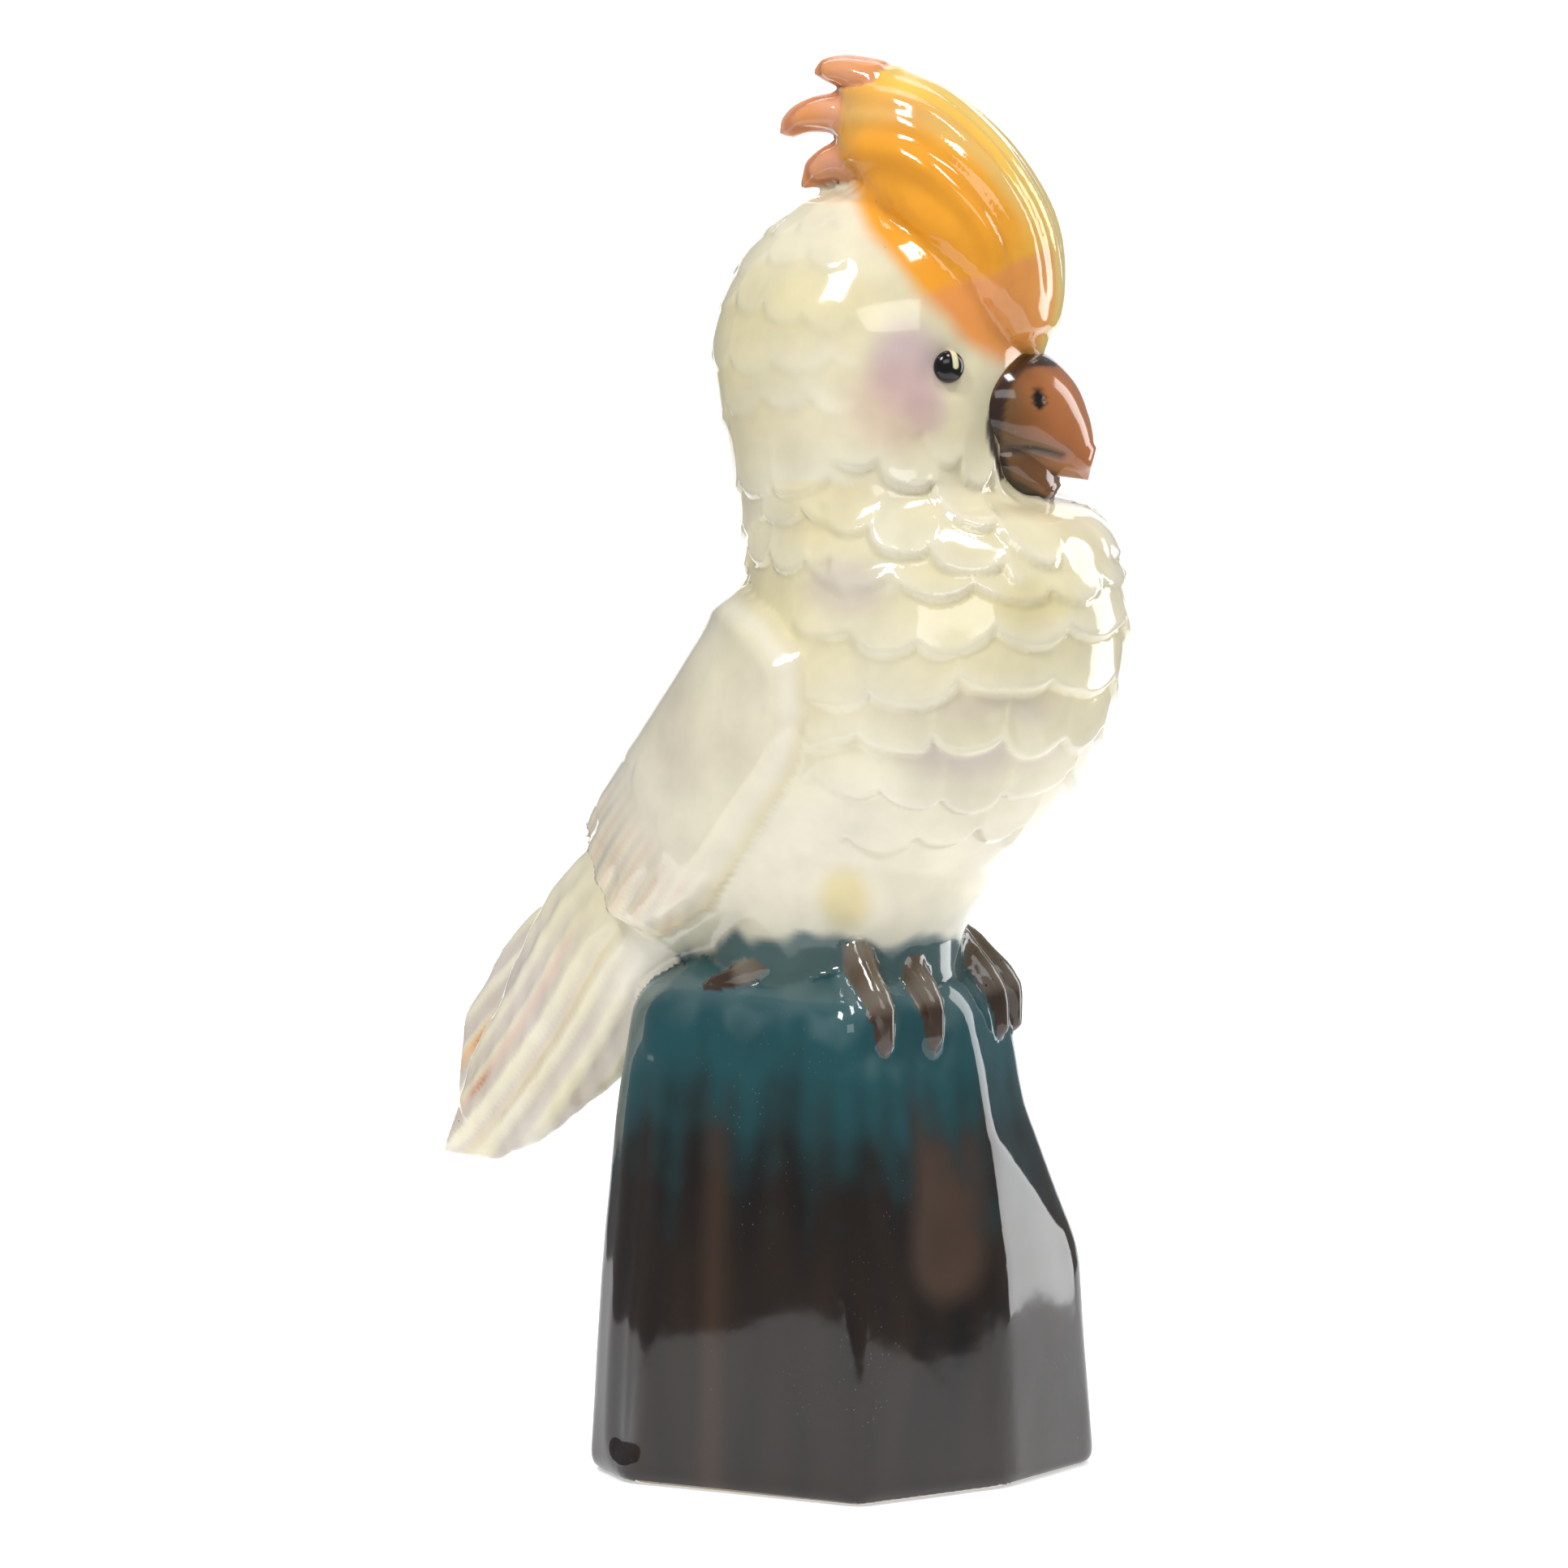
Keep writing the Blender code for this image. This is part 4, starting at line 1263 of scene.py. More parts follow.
@dataclass
class Stump(Casting):
    """The faceted stump, teal at its crown and running down to a dark brown."""

    levels: Row = (0.0, 25.0, 42.0, 54.5)
    corners: tuple[tuple[Row, ...], ...] = (
        ((-20, -13.6), (-19, -12.9), (-18.2, -11.8), (-17.6, -11)),
        ((0, -22.2), (-0.2, -20.6), (-0.6, -18.2), (-0.8, -16.8)),
        ((19.2, -22.6), (17.8, -21.2), (12.2, -16.9), (11.4, -15.2)),
        ((28.4, -14.4), (27, -13.6), (19.2, -11), (17.6, -9.8)),
        ((28.6, 4.5), (26, 4.5), (21.6, 4.5), (18.8, 4)),
        ((22.2, 20), (20, 19), (17.6, 17.6), (15.4, 16.2)),
        ((4, 26.8), (3.4, 25.4), (2.6, 24), (2.2, 22.4)),
        ((-13, 26), (-12.1, 24.8), (-11.5, 23.3), (-10.6, 21.4)),
        ((-19.6, 17.6), (-18.4, 17), (-17.4, 16.2), (-16.2, 15.2)),
    )
    crown_z: float = 60.0
    crown_share: float = 0.72
    crown_shift: float = 0.9
    scoop: tuple[Row, ...] = ((-4.7, -16.1, 46.0), (-5.3, -17.2, 36.0), (-7.0, -18.4, 27.0))
    flute: tuple[Row, ...] = ((-17.0, 16.5, 46.0), (-17.8, 17.0, 30.0), (-18.5, 18.5, 5.5))
    streak: Row = (0.022, 0.013, 0.008)
    run: Row = (0.05, 0.028, 0.017)

    @classmethod
    def block(cls, inset: float = 0.0, ceiling: float = 0.0) -> bmesh.types.BMesh:
        """The stump as a faceted block.

        Args:
            inset: How far its sides lie inside the stump's.
            ceiling: How far its crown lies below the stump's.

        Returns:
            A closed mesh.
        """
        bm = bmesh.new()
        ring, edges = start_ring(bm, len(cls.corners))
        cls.place(ring, cls.outline(0, inset), 0.0)
        bmesh.ops.contextual_create(bm, geom=edges)
        for level in range(1, len(cls.levels)):
            ring, edges = draw_out(bm, edges)
            cls.place(ring, cls.outline(level, inset), cls.levels[level] - ceiling * level / 3)
        ring, edges = draw_out(bm, edges)
        top = [(x * cls.crown_share + cls.crown_shift, y * cls.crown_share) for x, y in cls.outline(3, inset)]
        cls.place(ring, top, cls.crown_z - ceiling)
        bmesh.ops.contextual_create(bm, geom=edges)
        bmesh.ops.recalc_face_normals(bm, faces=bm.faces)
        return bm

    @classmethod
    def outline(cls, level: int, inset: float) -> list[tuple[float, float]]:
        """The corners at one level, drawn in towards the axis."""
        corners = [corner[level] for corner in cls.corners]
        return [(x - inset * x / math.hypot(x, y), y - inset * y / math.hypot(x, y)) for x, y in corners]

    @staticmethod
    def place(ring: list, corners: list, z: float) -> None:
        """Moves a ring's vertices to the corners, in the order of their bearings.

        Args:
            ring: The vertices.
            corners: x and y of as many corners.
            z: Their height.
        """
        corners = sorted(corners, key=lambda corner: math.atan2(corner[1], corner[0]) % math.tau)
        ring = sorted(ring, key=lambda vert: math.atan2(vert.co.y, vert.co.x) % math.tau)
        for vert, corner in zip(ring, corners):
            vert.co = Vector((*corner, z))

    @classmethod
    def surface(cls) -> BVHTree:
        """The block's surface, to lay the toes on.

        Returns:
            A tree to find the nearest spot with.
        """
        bm = cls.block()
        tree = BVHTree.FromBMesh(bm)
        bm.free()
        return tree

    def forms(self, stand: Stand) -> bmesh.types.BMesh:
        """The block with rounded edges.

        Args:
            stand: Where head and stump stand; not used.

        Returns:
            A mesh of closed forms.
        """
        bm = self.block()
        round_edges(bm, 1.9, 4)
        return bm

    def press(self, patch: Patch) -> None:
        """Sinks the scoop and the flute, and leaves the facets a little uneven.

        Args:
            patch: The casting's own part of the skin.
        """
        spots = patch.spots
        scoop_far, _, _ = along(spots, np.array(self.scoop))
        flute_far, _, _ = along(spots, np.array(self.flute))
        side = ease(0.8, 0.5, np.abs(patch.normals[:, 2]))
        height = -0.85 * ease(8.0, 0.5, scoop_far) - 0.75 * ease(4.5, 0.5, flute_far)
        stretched = spots * np.array([1.0, 1.0, 0.6])
        height += 0.24 * wobble(stretched, 26.0, 5.0)
        height += 0.045 * wobble(stretched, 10.0, 1.0)
        patch.relief = ease(7.0, 3.0, scoop_far)
        patch.press(height * (0.25 + 0.75 * side))

    def brush(self, patch: Patch) -> None:
        """Brushes teal over the crown, and lets it run down into the dark bark.

        Args:
            patch: The casting's own part of the skin.
        """
        spots = patch.spots
        streaky = spots * np.array([1.0, 1.0, 0.22])
        drop = 4.5 * wobble(streaky, 9.0, 3.0) + 3.0 * wobble(streaky, 3.6, 8.0)
        level = spots[:, 2] + (drop + 2.0 * wobble(spots, 5.0, 2.0))
        tone = mix(flat(spots, Glaze.BARK), self.streak, 0.4 + 0.4 * wobble(streaky, 5.0, 1.0))
        tone = mix(tone, Glaze.TEAL, ease(30.0, 50.0, level))
        cloud = ease(0.1, 0.9, wobble(spots, 6.0, 9.0) + 0.5)
        tone = mix(tone, Glaze.PALE_TEAL, 0.7 * ease(47.0, 59.0, level) * cloud)
        tone = mix(tone, Glaze.PALE_TEAL, 0.5 * bell(spots[:, 2] - 56.0, 2.4))
        tone = mix(tone, self.run, 0.7 * ease(44.0, 36.0, level) * bell(spots[:, 1] - 6.0, 3.0))
        scoop = patch.relief * ease(44.0, 30.0, level)
        tone = mix(tone, Glaze.SCOOP, 0.75 * scoop)
        patch.paint(tone)


# ---------------------------------------------------------------- pieces made on their own


@dataclass
class Loose:
    """A piece that is modelled by itself and set into the skin."""

    node: str
    slot: str

    def paint(self, bm: bmesh.types.BMesh, colours: Array) -> None:
        """Gives each vertex its colour.

        Args:
            bm: The mesh.
            colours: One row to a vertex.
        """
        layer = bm.verts.layers.float_color.new(PAINT)
        for vert, colour in zip(bm.verts, colours):
            vert[layer] = (*colour, 1.0)

    def spots(self, bm: bmesh.types.BMesh) -> Array:
        """The vertices' places, one row each."""
        return np.array([vert.co for vert in bm.verts])


@dataclass
class Mandible(Loose):
    """Half of the beak, in the head's space, with the outline painted where it meets the face."""

    limb: Limb
    upper: bool

    base: tuple[Row, ...] = (
        (0, -19.8, 127.6), (-1.7, -19.4, 127.0), (-5.2, -16.9, 126.1), (-8.1, -15.3, 123.7),
        (-9.2, -14.5, 120.3), (-8.6, -14.7, 117.1), (-7.4, -15.9, 113.3), (-4.0, -17.8, 111.6),
        (0, -18.6, 110.8),
    )
    mouth: tuple[Row, ...] = (
        (-9.0, -13.0, 117.3), (-7.9, -15.6, 117.0), (-6.2, -18.6, 117.2), (-4.2, -21.4, 116.2),
    )
    nostril: Row = (-6.6, -19.0, 122.5)
    hole: Row = (0.75, 0.75, 1.35)
    olive: Row = (0.20, 0.10, 0.04)
    blush: Row = (0.50, 0.17, 0.05)
    mouth_highlight: Row = (0.16, 0.13, 0.11)

    def build(self, stand: Stand) -> bpy.types.Object:
        """Models, presses and paints this half of the beak.

        Args:
            stand: Where the head stands.

        Returns:
            The finished piece.
        """
        bm = self.limb.mesh()
        bmesh.ops.recalc_face_normals(bm, faces=bm.faces)
        bm.normal_update()
        mouth_far, _, _ = along(folded(self.spots(bm)), np.array(smooth_track(self.mouth, 4)))
        hole = blob(folded(self.spots(bm)), self.nostril, (1.3, 1.3, 1.9))
        for vert, far, dent in zip(bm.verts, mouth_far, hole):
            vert.co -= vert.normal * (0.30 * max(0.0, 1.0 - far / 0.9) + 0.45 * dent * self.upper)
        spots = folded(self.spots(bm))
        self.paint(bm, self.tones(spots, np.array([vert.normal for vert in bm.verts]), mouth_far))
        bmesh.ops.transform(bm, matrix=stand.head, verts=bm.verts)
        return mesh_object(f"glazed_{self.node}", bm, stand.origin)

    def tones(self, spots: Array, normals: Array, mouth_far: Array) -> Array:
        """The glaze of each vertex, with painted highlights along the mouth and at the forward-facing tip.

        Args:
            spots: The vertices, folded to the bird's right.
            normals: Their normals.
            mouth_far: Their distance from the mouth's line.

        Returns:
            Their colours.
        """
        outline_far, _, _ = along(spots, np.array(smooth_track(self.base, 4)))
        tone = mix(flat(spots, Glaze.BEAK), self.olive, 0.5 + 0.5 * wobble(spots, 5.0, 1.0))
        # The orange on the forward-facing tip is partly the culmen's own colour, partly painted highlight.
        front = ease(-15.5, -21.5, spots[:, 1] + 0.6 * wobble(spots, 4.0, 5.0))
        front *= ease(-0.1, 0.55, -normals[:, 1])
        tone = mix(tone, self.blush, 0.85 * front * (1.0 if self.upper else 0.35))
        # Painted highlight: a grey band along the mandible's edge just above the mouth line.
        tone = mix(tone, self.mouth_highlight, 0.75 * bell(mouth_far, 2.0) * ease(115.8, 117.4, spots[:, 2]))
        tone = mix(tone, Glaze.UMBER, 0.95 * bell(mouth_far, 0.75))
        far = np.linalg.norm((spots - np.array(self.nostril)) / np.array(self.hole), axis=1)
        tone = mix(tone, Glaze.INK, ease(1.35, 0.95, far) * (1.0 if self.upper else 0.0))
        return mix(tone, Glaze.UMBER, 0.97 * ease(1.35, 0.85, outline_far))


@dataclass
class Eye(Loose):
    """A bead of black enamel with a cream slot left open above its middle."""

    side: Side

    PLACE = Vector((13.45, -10.3, 126.6))
    facing: float = math.radians(53.0)
    radius: float = 1.8
    bulge: float = 1.2
    slot_half: float = 0.36
    slot_shift: float = 0.30
    slot_edge: float = 0.07
    sheen: Row = (0.03, 0.012, 0.05)

    def build(self, stand: Stand) -> bpy.types.Object:
        """Models and paints the eye.

        Args:
            stand: Where the head stands.

        Returns:
            The finished piece.
        """
        bm = bmesh.new()
        bmesh.ops.create_uvsphere(bm, u_segments=96, v_segments=64, radius=1.0)
        rim = self.spots(bm)
        across, up = rim[:, 0] * self.radius, rim[:, 2] * self.radius
        slot = np.hypot(across + self.slot_shift * self.side.value, np.minimum(up - 0.15, 0.0))
        cream = ease(self.slot_half + self.slot_edge, self.slot_half - self.slot_edge, slot)
        tone = mix(flat(rim, Glaze.INK), Glaze.CREAM, cream)
        # Painted reflection: a dark purple sheen laid over the bead's lower part.
        self.paint(bm, mix(tone, self.sheen, 0.7 * ease(-1.2, -1.7, up)))
        place = Vector((self.PLACE.x * self.side.value, self.PLACE.y, self.PLACE.z))
        turn = Matrix.Rotation(self.facing * self.side.value, 4, "Z")
        size = Matrix.Diagonal((self.radius, self.bulge, self.radius, 1.0))
        matrix = stand.head @ Matrix.Translation(place) @ turn @ size
        bmesh.ops.transform(bm, matrix=matrix, verts=bm.verts)
        return mesh_object(f"enamel_{self.node}", bm, stand.origin)


@dataclass
class Biscuit(Loose):
    """The stump's unglazed body inside its glaze: the foot ring and the hollow over it.

    Attributes:
        blocks: Inset, drop of the crown, and whether it is the hollow's side, of each block.
    """

    blocks: tuple[tuple[float, float, bool], ...] = ((2.2, 1.8, False), (4.2, 4.5, True))
    pale: Row = (0.62, 0.56, 0.46)
    grimy: Row = (0.40, 0.33, 0.26)

    def build(self, stand: Stand) -> bpy.types.Object:
        """Models the hollow block, open at its foot.

        Args:
            stand: Where the stump stands.

        Returns:
            The finished piece.
        """
        bm = bmesh.new()
        for inset, ceiling, turned in self.blocks:
            block = Stump.block(inset, ceiling)
            if turned:
                bmesh.ops.reverse_faces(block, faces=block.faces)
            shell = bpy.data.meshes.new("shell")
            block.to_mesh(shell)
            block.free()
            bm.from_mesh(shell)
            bpy.data.meshes.remove(shell)
        foot = [face for face in bm.faces if all(vert.co.z < 0.01 for vert in face.verts)]
        bmesh.ops.delete(bm, geom=foot, context="FACES_ONLY")
        bmesh.ops.bridge_loops(bm, edges=[edge for edge in bm.edges if edge.is_boundary])
        bmesh.ops.recalc_face_normals(bm, faces=bm.faces)
        round_edges(bm, 0.45, 2)
        spots = self.spots(bm)
        self.paint(bm, mix(flat(spots, self.pale), self.grimy, 0.5 + 0.5 * wobble(spots, 9.0, 2.0)))
        return mesh_object("biscuit_core", bm, stand.origin)


# ---------------------------------------------------------------- finishes


def fresh_material(name: str) -> tuple[bpy.types.Material, Tree, bpy.types.Node, Socket]:
    """Starts a material.

    Args:
        name: Its name.

    Returns:
        The material, its nodes, its shader and the place on the object.
    """
    material = bpy.data.materials.new(name)
    material.use_nodes = True
    tree = material.node_tree
    place = tree.nodes.new("ShaderNodeTexCoord").outputs["Object"]
    return material, tree, tree.nodes["Principled BSDF"], place


def noise(tree: Tree, place: Socket, scale: float, detail: float) -> Socket:
    """Adds a noise over the object's own space.

    Args:
        tree: The material's nodes.
        place: The place on the object.
        scale: Swells to a metre.
        detail: How fine it goes.

    Returns:
        Its value.
    """
    node = tree.nodes.new("ShaderNodeTexNoise")
    node.inputs["Scale"].default_value = scale
    node.inputs["Detail"].default_value = detail
    tree.links.new(place, node.inputs["Vector"])
    return node.outputs["Fac"]


def ranged(tree: Tree, value: Socket, old: tuple[float, float], new: tuple[float, float]) -> Socket:
    """Carries a value from one range to another, and holds it there.

    Args:
        tree: The material's nodes.
        value: The value.
        old: The range that it comes in.
        new: The range that it leaves in.

    Returns:
        The carried value.
    """
    node = tree.nodes.new("ShaderNodeMapRange")
    tree.links.new(value, node.inputs["Value"])
    for name, number in zip(("From Min", "From Max", "To Min", "To Max"), (*old, *new)):
        node.inputs[name].default_value = number
    return node.outputs["Result"]


@dataclass(frozen=True)
class GlazeFinish:
    """A glaze over the brushed colours, with its own cast of flaws.

    Attributes:
        name: The material's name.
        roughness: How matt it is.
        coat: Weight of the clear glaze on top.
        speck: Linear colour of its specks.
        speck_scale: Specks' cells to a metre.
        speck_size: Specks' share of a cell.
        speck_share: How common they are, from 0 to 1.
        ripple: Depth of its slow ripple, in metres.
        glow: Subsurface weight.
    """

    name: str
    roughness: float = 0.09
    coat: float = 0.6
    speck: Row = Glaze.UMBER
    speck_scale: float = 260.0
    speck_size: float = 0.07
    speck_share: float = 0.35
    ripple: float = 0.00012
    glow: float = 0.0

    SEEP = (0.0022, 0.0018, 0.0012)

    def build(self) -> bpy.types.Material:
        """Makes the material.

        Returns:
            The material.
        """
        material, tree, shader, place = fresh_material(self.name)
        settings = {
            "Roughness": self.roughness, "Coat Weight": self.coat, "Coat Roughness": 0.03, "IOR": 1.5,
            "Subsurface Weight": self.glow, "Subsurface Radius": self.SEEP, "Subsurface Scale": 1.0,
        }
        for name, value in settings.items():
            shader.inputs[name].default_value = value
        brushed = tree.nodes.new("ShaderNodeAttribute")
        brushed.attribute_name = PAINT
        shade = ranged(tree, noise(tree, place, 140.0, 4.0), (0.3, 0.7), (0.90, 1.06))
        toned = self.blend(tree, "MULTIPLY", 1.0, brushed.outputs["Color"], shade)
        cells = tree.nodes.new("ShaderNodeTexVoronoi")
        cells.inputs["Scale"].default_value = self.speck_scale
        tree.links.new(place, cells.inputs["Vector"])
        dots = ranged(tree, cells.outputs["Distance"], (self.speck_size, self.speck_size * 0.5), (0.0, 1.0))
        share = 0.72 - 0.34 * self.speck_share
        where = ranged(tree, noise(tree, place, 75.0, 2.0), (share - 0.06, share + 0.04), (0.0, 1.0))
        mask = tree.nodes.new("ShaderNodeMath")
        mask.operation = "MULTIPLY"
        tree.links.new(dots, mask.inputs[0])
        tree.links.new(where, mask.inputs[1])
        speck = tree.nodes.new("ShaderNodeRGB")
        speck.outputs[0].default_value = (*self.speck, 1.0)
        colour = self.blend(tree, "MIX", mask.outputs[0], toned, speck.outputs[0])
        tree.links.new(colour, shader.inputs["Base Color"])
        bump = tree.nodes.new("ShaderNodeBump")
        bump.inputs["Strength"].default_value = 0.35
        bump.inputs["Distance"].default_value = self.ripple
        tree.links.new(noise(tree, place, 210.0, 1.5), bump.inputs["Height"])
        tree.links.new(bump.outputs["Normal"], shader.inputs["Normal"])
        return material

    @staticmethod
    def blend(tree: Tree, mode: str, weight: Socket | float, first: Socket, second: Socket) -> Socket:
        """Blends two colours.

        Args:
            tree: The material's nodes.
            mode: How the second is laid over the first.
            weight: How strongly, as a number or another node's value.
            first: The first colour.
            second: The second colour.

        Returns:
            The blended colour.
        """
        node = tree.nodes.new("ShaderNodeMix")
        node.data_type = "RGBA"
        node.blend_type = mode
        if isinstance(weight, float):
            node.inputs[0].default_value = weight
        else:
            tree.links.new(weight, node.inputs[0])
        tree.links.new(first, node.inputs[6])
        tree.links.new(second, node.inputs[7])
        return node.outputs[2]


FINISHES = {
    "cream_glaze": GlazeFinish("cream_glaze", 0.10, 0.35, speck_scale=170.0, speck_size=0.035, glow=0.08),
    "crest_glaze": GlazeFinish("crest_glaze", 0.10, 0.35, Glaze.RUST, 300.0, 0.04, 0.35, glow=0.05),
    "beak_glaze": GlazeFinish("beak_glaze", 0.12, 0.3, (0.32, 0.17, 0.07), 900.0, 0.16, 0.5),
    "eye_enamel": GlazeFinish("eye_enamel", 0.16, 0.0, (0.02, 0.01, 0.02), 900.0, 0.1, 0.2, 0.00002),
    "toe_glaze": GlazeFinish("toe_glaze", 0.14, 0.2, Glaze.UMBER, 800.0, 0.14, 0.6),
    "stump_glaze": GlazeFinish("stump_glaze", 0.07, 0.0, (0.12, 0.15, 0.15), 1300.0, 0.11, 0.25, 0.00006),
    "biscuit": GlazeFinish("biscuit", 0.75, 0.0, (0.16, 0.11, 0.08), 900.0, 0.2, 0.7, 0.00025),
}


# ---------------------------------------------------------------- studio


@dataclass
class Softbox:
    """A lit panel that faces the figurine's middle.

    Attributes:
        bearing: Degrees round from the bird's front, above 0 to its left.
        rise: Degrees above the horizon.
        reach: Distance in metres.
        width: Its width in metres.
        height: Its height in metres.
        power: Watts.
    """

    bearing: float
    rise: float
    reach: float
    width: float
    height: float
    power: float

    def hang(self, name: str, aim: Vector) -> None:
        """Hangs the panel.

        Args:
            name: The lamp's name.
            aim: The spot that it faces, in metres.
        """
        lamp = bpy.data.lights.new(name, "AREA")
        lamp.shape = "RECTANGLE"
        lamp.size, lamp.size_y = self.width, self.height
        lamp.energy = self.power
        set_up(name, lamp, aim, (self.bearing, self.rise, self.reach))


def set_up(name: str, data: bpy.types.ID, aim: Vector, way: tuple[float, float, float]) -> bpy.types.Object:
    """Sets a lamp or a camera up so that it looks at a spot.

    Args:
        name: The object's name.
        data: The lamp or camera.
        aim: The spot, in metres.
        way: Degrees round from the bird's front, degrees above the horizon, and distance in metres.

    Returns:
        The object.
    """
    turn, lift = math.radians(way[0]), math.radians(way[1])
    ray = Vector((math.sin(turn) * math.cos(lift), -math.cos(turn) * math.cos(lift), math.sin(lift)))
    obj = bpy.data.objects.new(name, data)
    obj.location = aim + ray * way[2]
    obj.rotation_euler = ray.to_track_quat("Z", "Y").to_euler()
    bpy.context.scene.collection.objects.link(obj)
    return obj


@dataclass
class Studio:
    """A white table under softboxes, with the camera at the bird's right and a little above."""

    stand: Stand
    aim: Row = (-3.3, 5.7, 78.6)
    bearing: float = -60.0
    rise: float = 5.5
    reach: float = 1.0
    lens: float = 203.3
    sensor: float = 36.0
    glow: float = 0.45
    table: float = 0.19
    bend: float = 0.35
    wall: float = 1.6
    bend_steps: int = 12
    air: tuple[float, float, float, float] = (0.92, 0.95, 1.0, 1.0)
    air_glow: float = 0.31
    BOXES = {
        "key_box": Softbox(-98.0, 52.0, 0.95, 0.20, 0.25, 4.6),
        "crown_box": Softbox(-20.0, 66.0, 0.95, 0.15, 0.24, 2.2),
        "right_strip": Softbox(54.0, 10.0, 1.0, 0.34, 1.0, 5.0),
        "front_fill": Softbox(-48.0, 30.0, 1.5, 0.9, 0.5, 3.9),
    }

    def build(self) -> None:
        """Sets up table, light and camera."""
        aim = self.stand.point(*self.aim)
        for name, box in self.BOXES.items():
            box.hang(name, aim)
        self.lay_table()
        world = bpy.data.worlds.new("studio_air")
        world.use_nodes = True
        air = world.node_tree.nodes["Background"]
        air.inputs["Color"].default_value = self.air
        air.inputs["Strength"].default_value = self.air_glow
        bpy.context.scene.world = world
        bpy.context.scene.view_settings.view_transform = "Standard"
        lens = bpy.data.cameras.new("camera")
        lens.lens, lens.sensor_width = self.lens, self.sensor
        bpy.context.scene.camera = set_up("camera", lens, aim, (self.bearing, self.rise, self.reach))

    def lay_table(self) -> None:
        """The white sweep: a table that curves up behind the figurine."""
        bm = bmesh.new()
        bmesh.ops.create_grid(bm, x_segments=1, y_segments=1, size=self.table)
        back = [edge for edge in bm.edges if all(vert.co.y > 0.0 for vert in edge.verts)]
        for step in range(1, self.bend_steps + 1):
            turn = math.radians(90.0 * step / self.bend_steps)
            fresh, back = draw_out(bm, back)
            for vert in fresh:
                vert.co.y = self.table + self.bend * math.sin(turn)
                vert.co.z = self.bend * (1.0 - math.cos(turn))
        for vert in draw_out(bm, back)[0]:
            vert.co.z = self.wall
        bmesh.ops.recalc_face_normals(bm, faces=bm.faces)
        turn = Matrix.Rotation(math.radians(self.bearing), 4, "Z")
        bmesh.ops.transform(bm, matrix=turn, verts=bm.verts)
        sweep = mesh_object("white_sweep", bm, self.stand.origin, 1.0)
        sheet, tree, shader, place = fresh_material("white_sheet")
        shader.inputs["Roughness"].default_value = 0.6
        shader.inputs["Emission Color"].default_value = (1.0, 1.0, 1.0, 1.0)
        shader.inputs["Emission Strength"].default_value = self.glow
        grain = ranged(tree, noise(tree, place, 6.0, 2.0), (0.3, 0.7), (0.93, 0.96))
        tree.links.new(grain, shader.inputs["Base Color"])
        sweep.data.materials.append(sheet)


# ---------------------------------------------------------------- the figurine


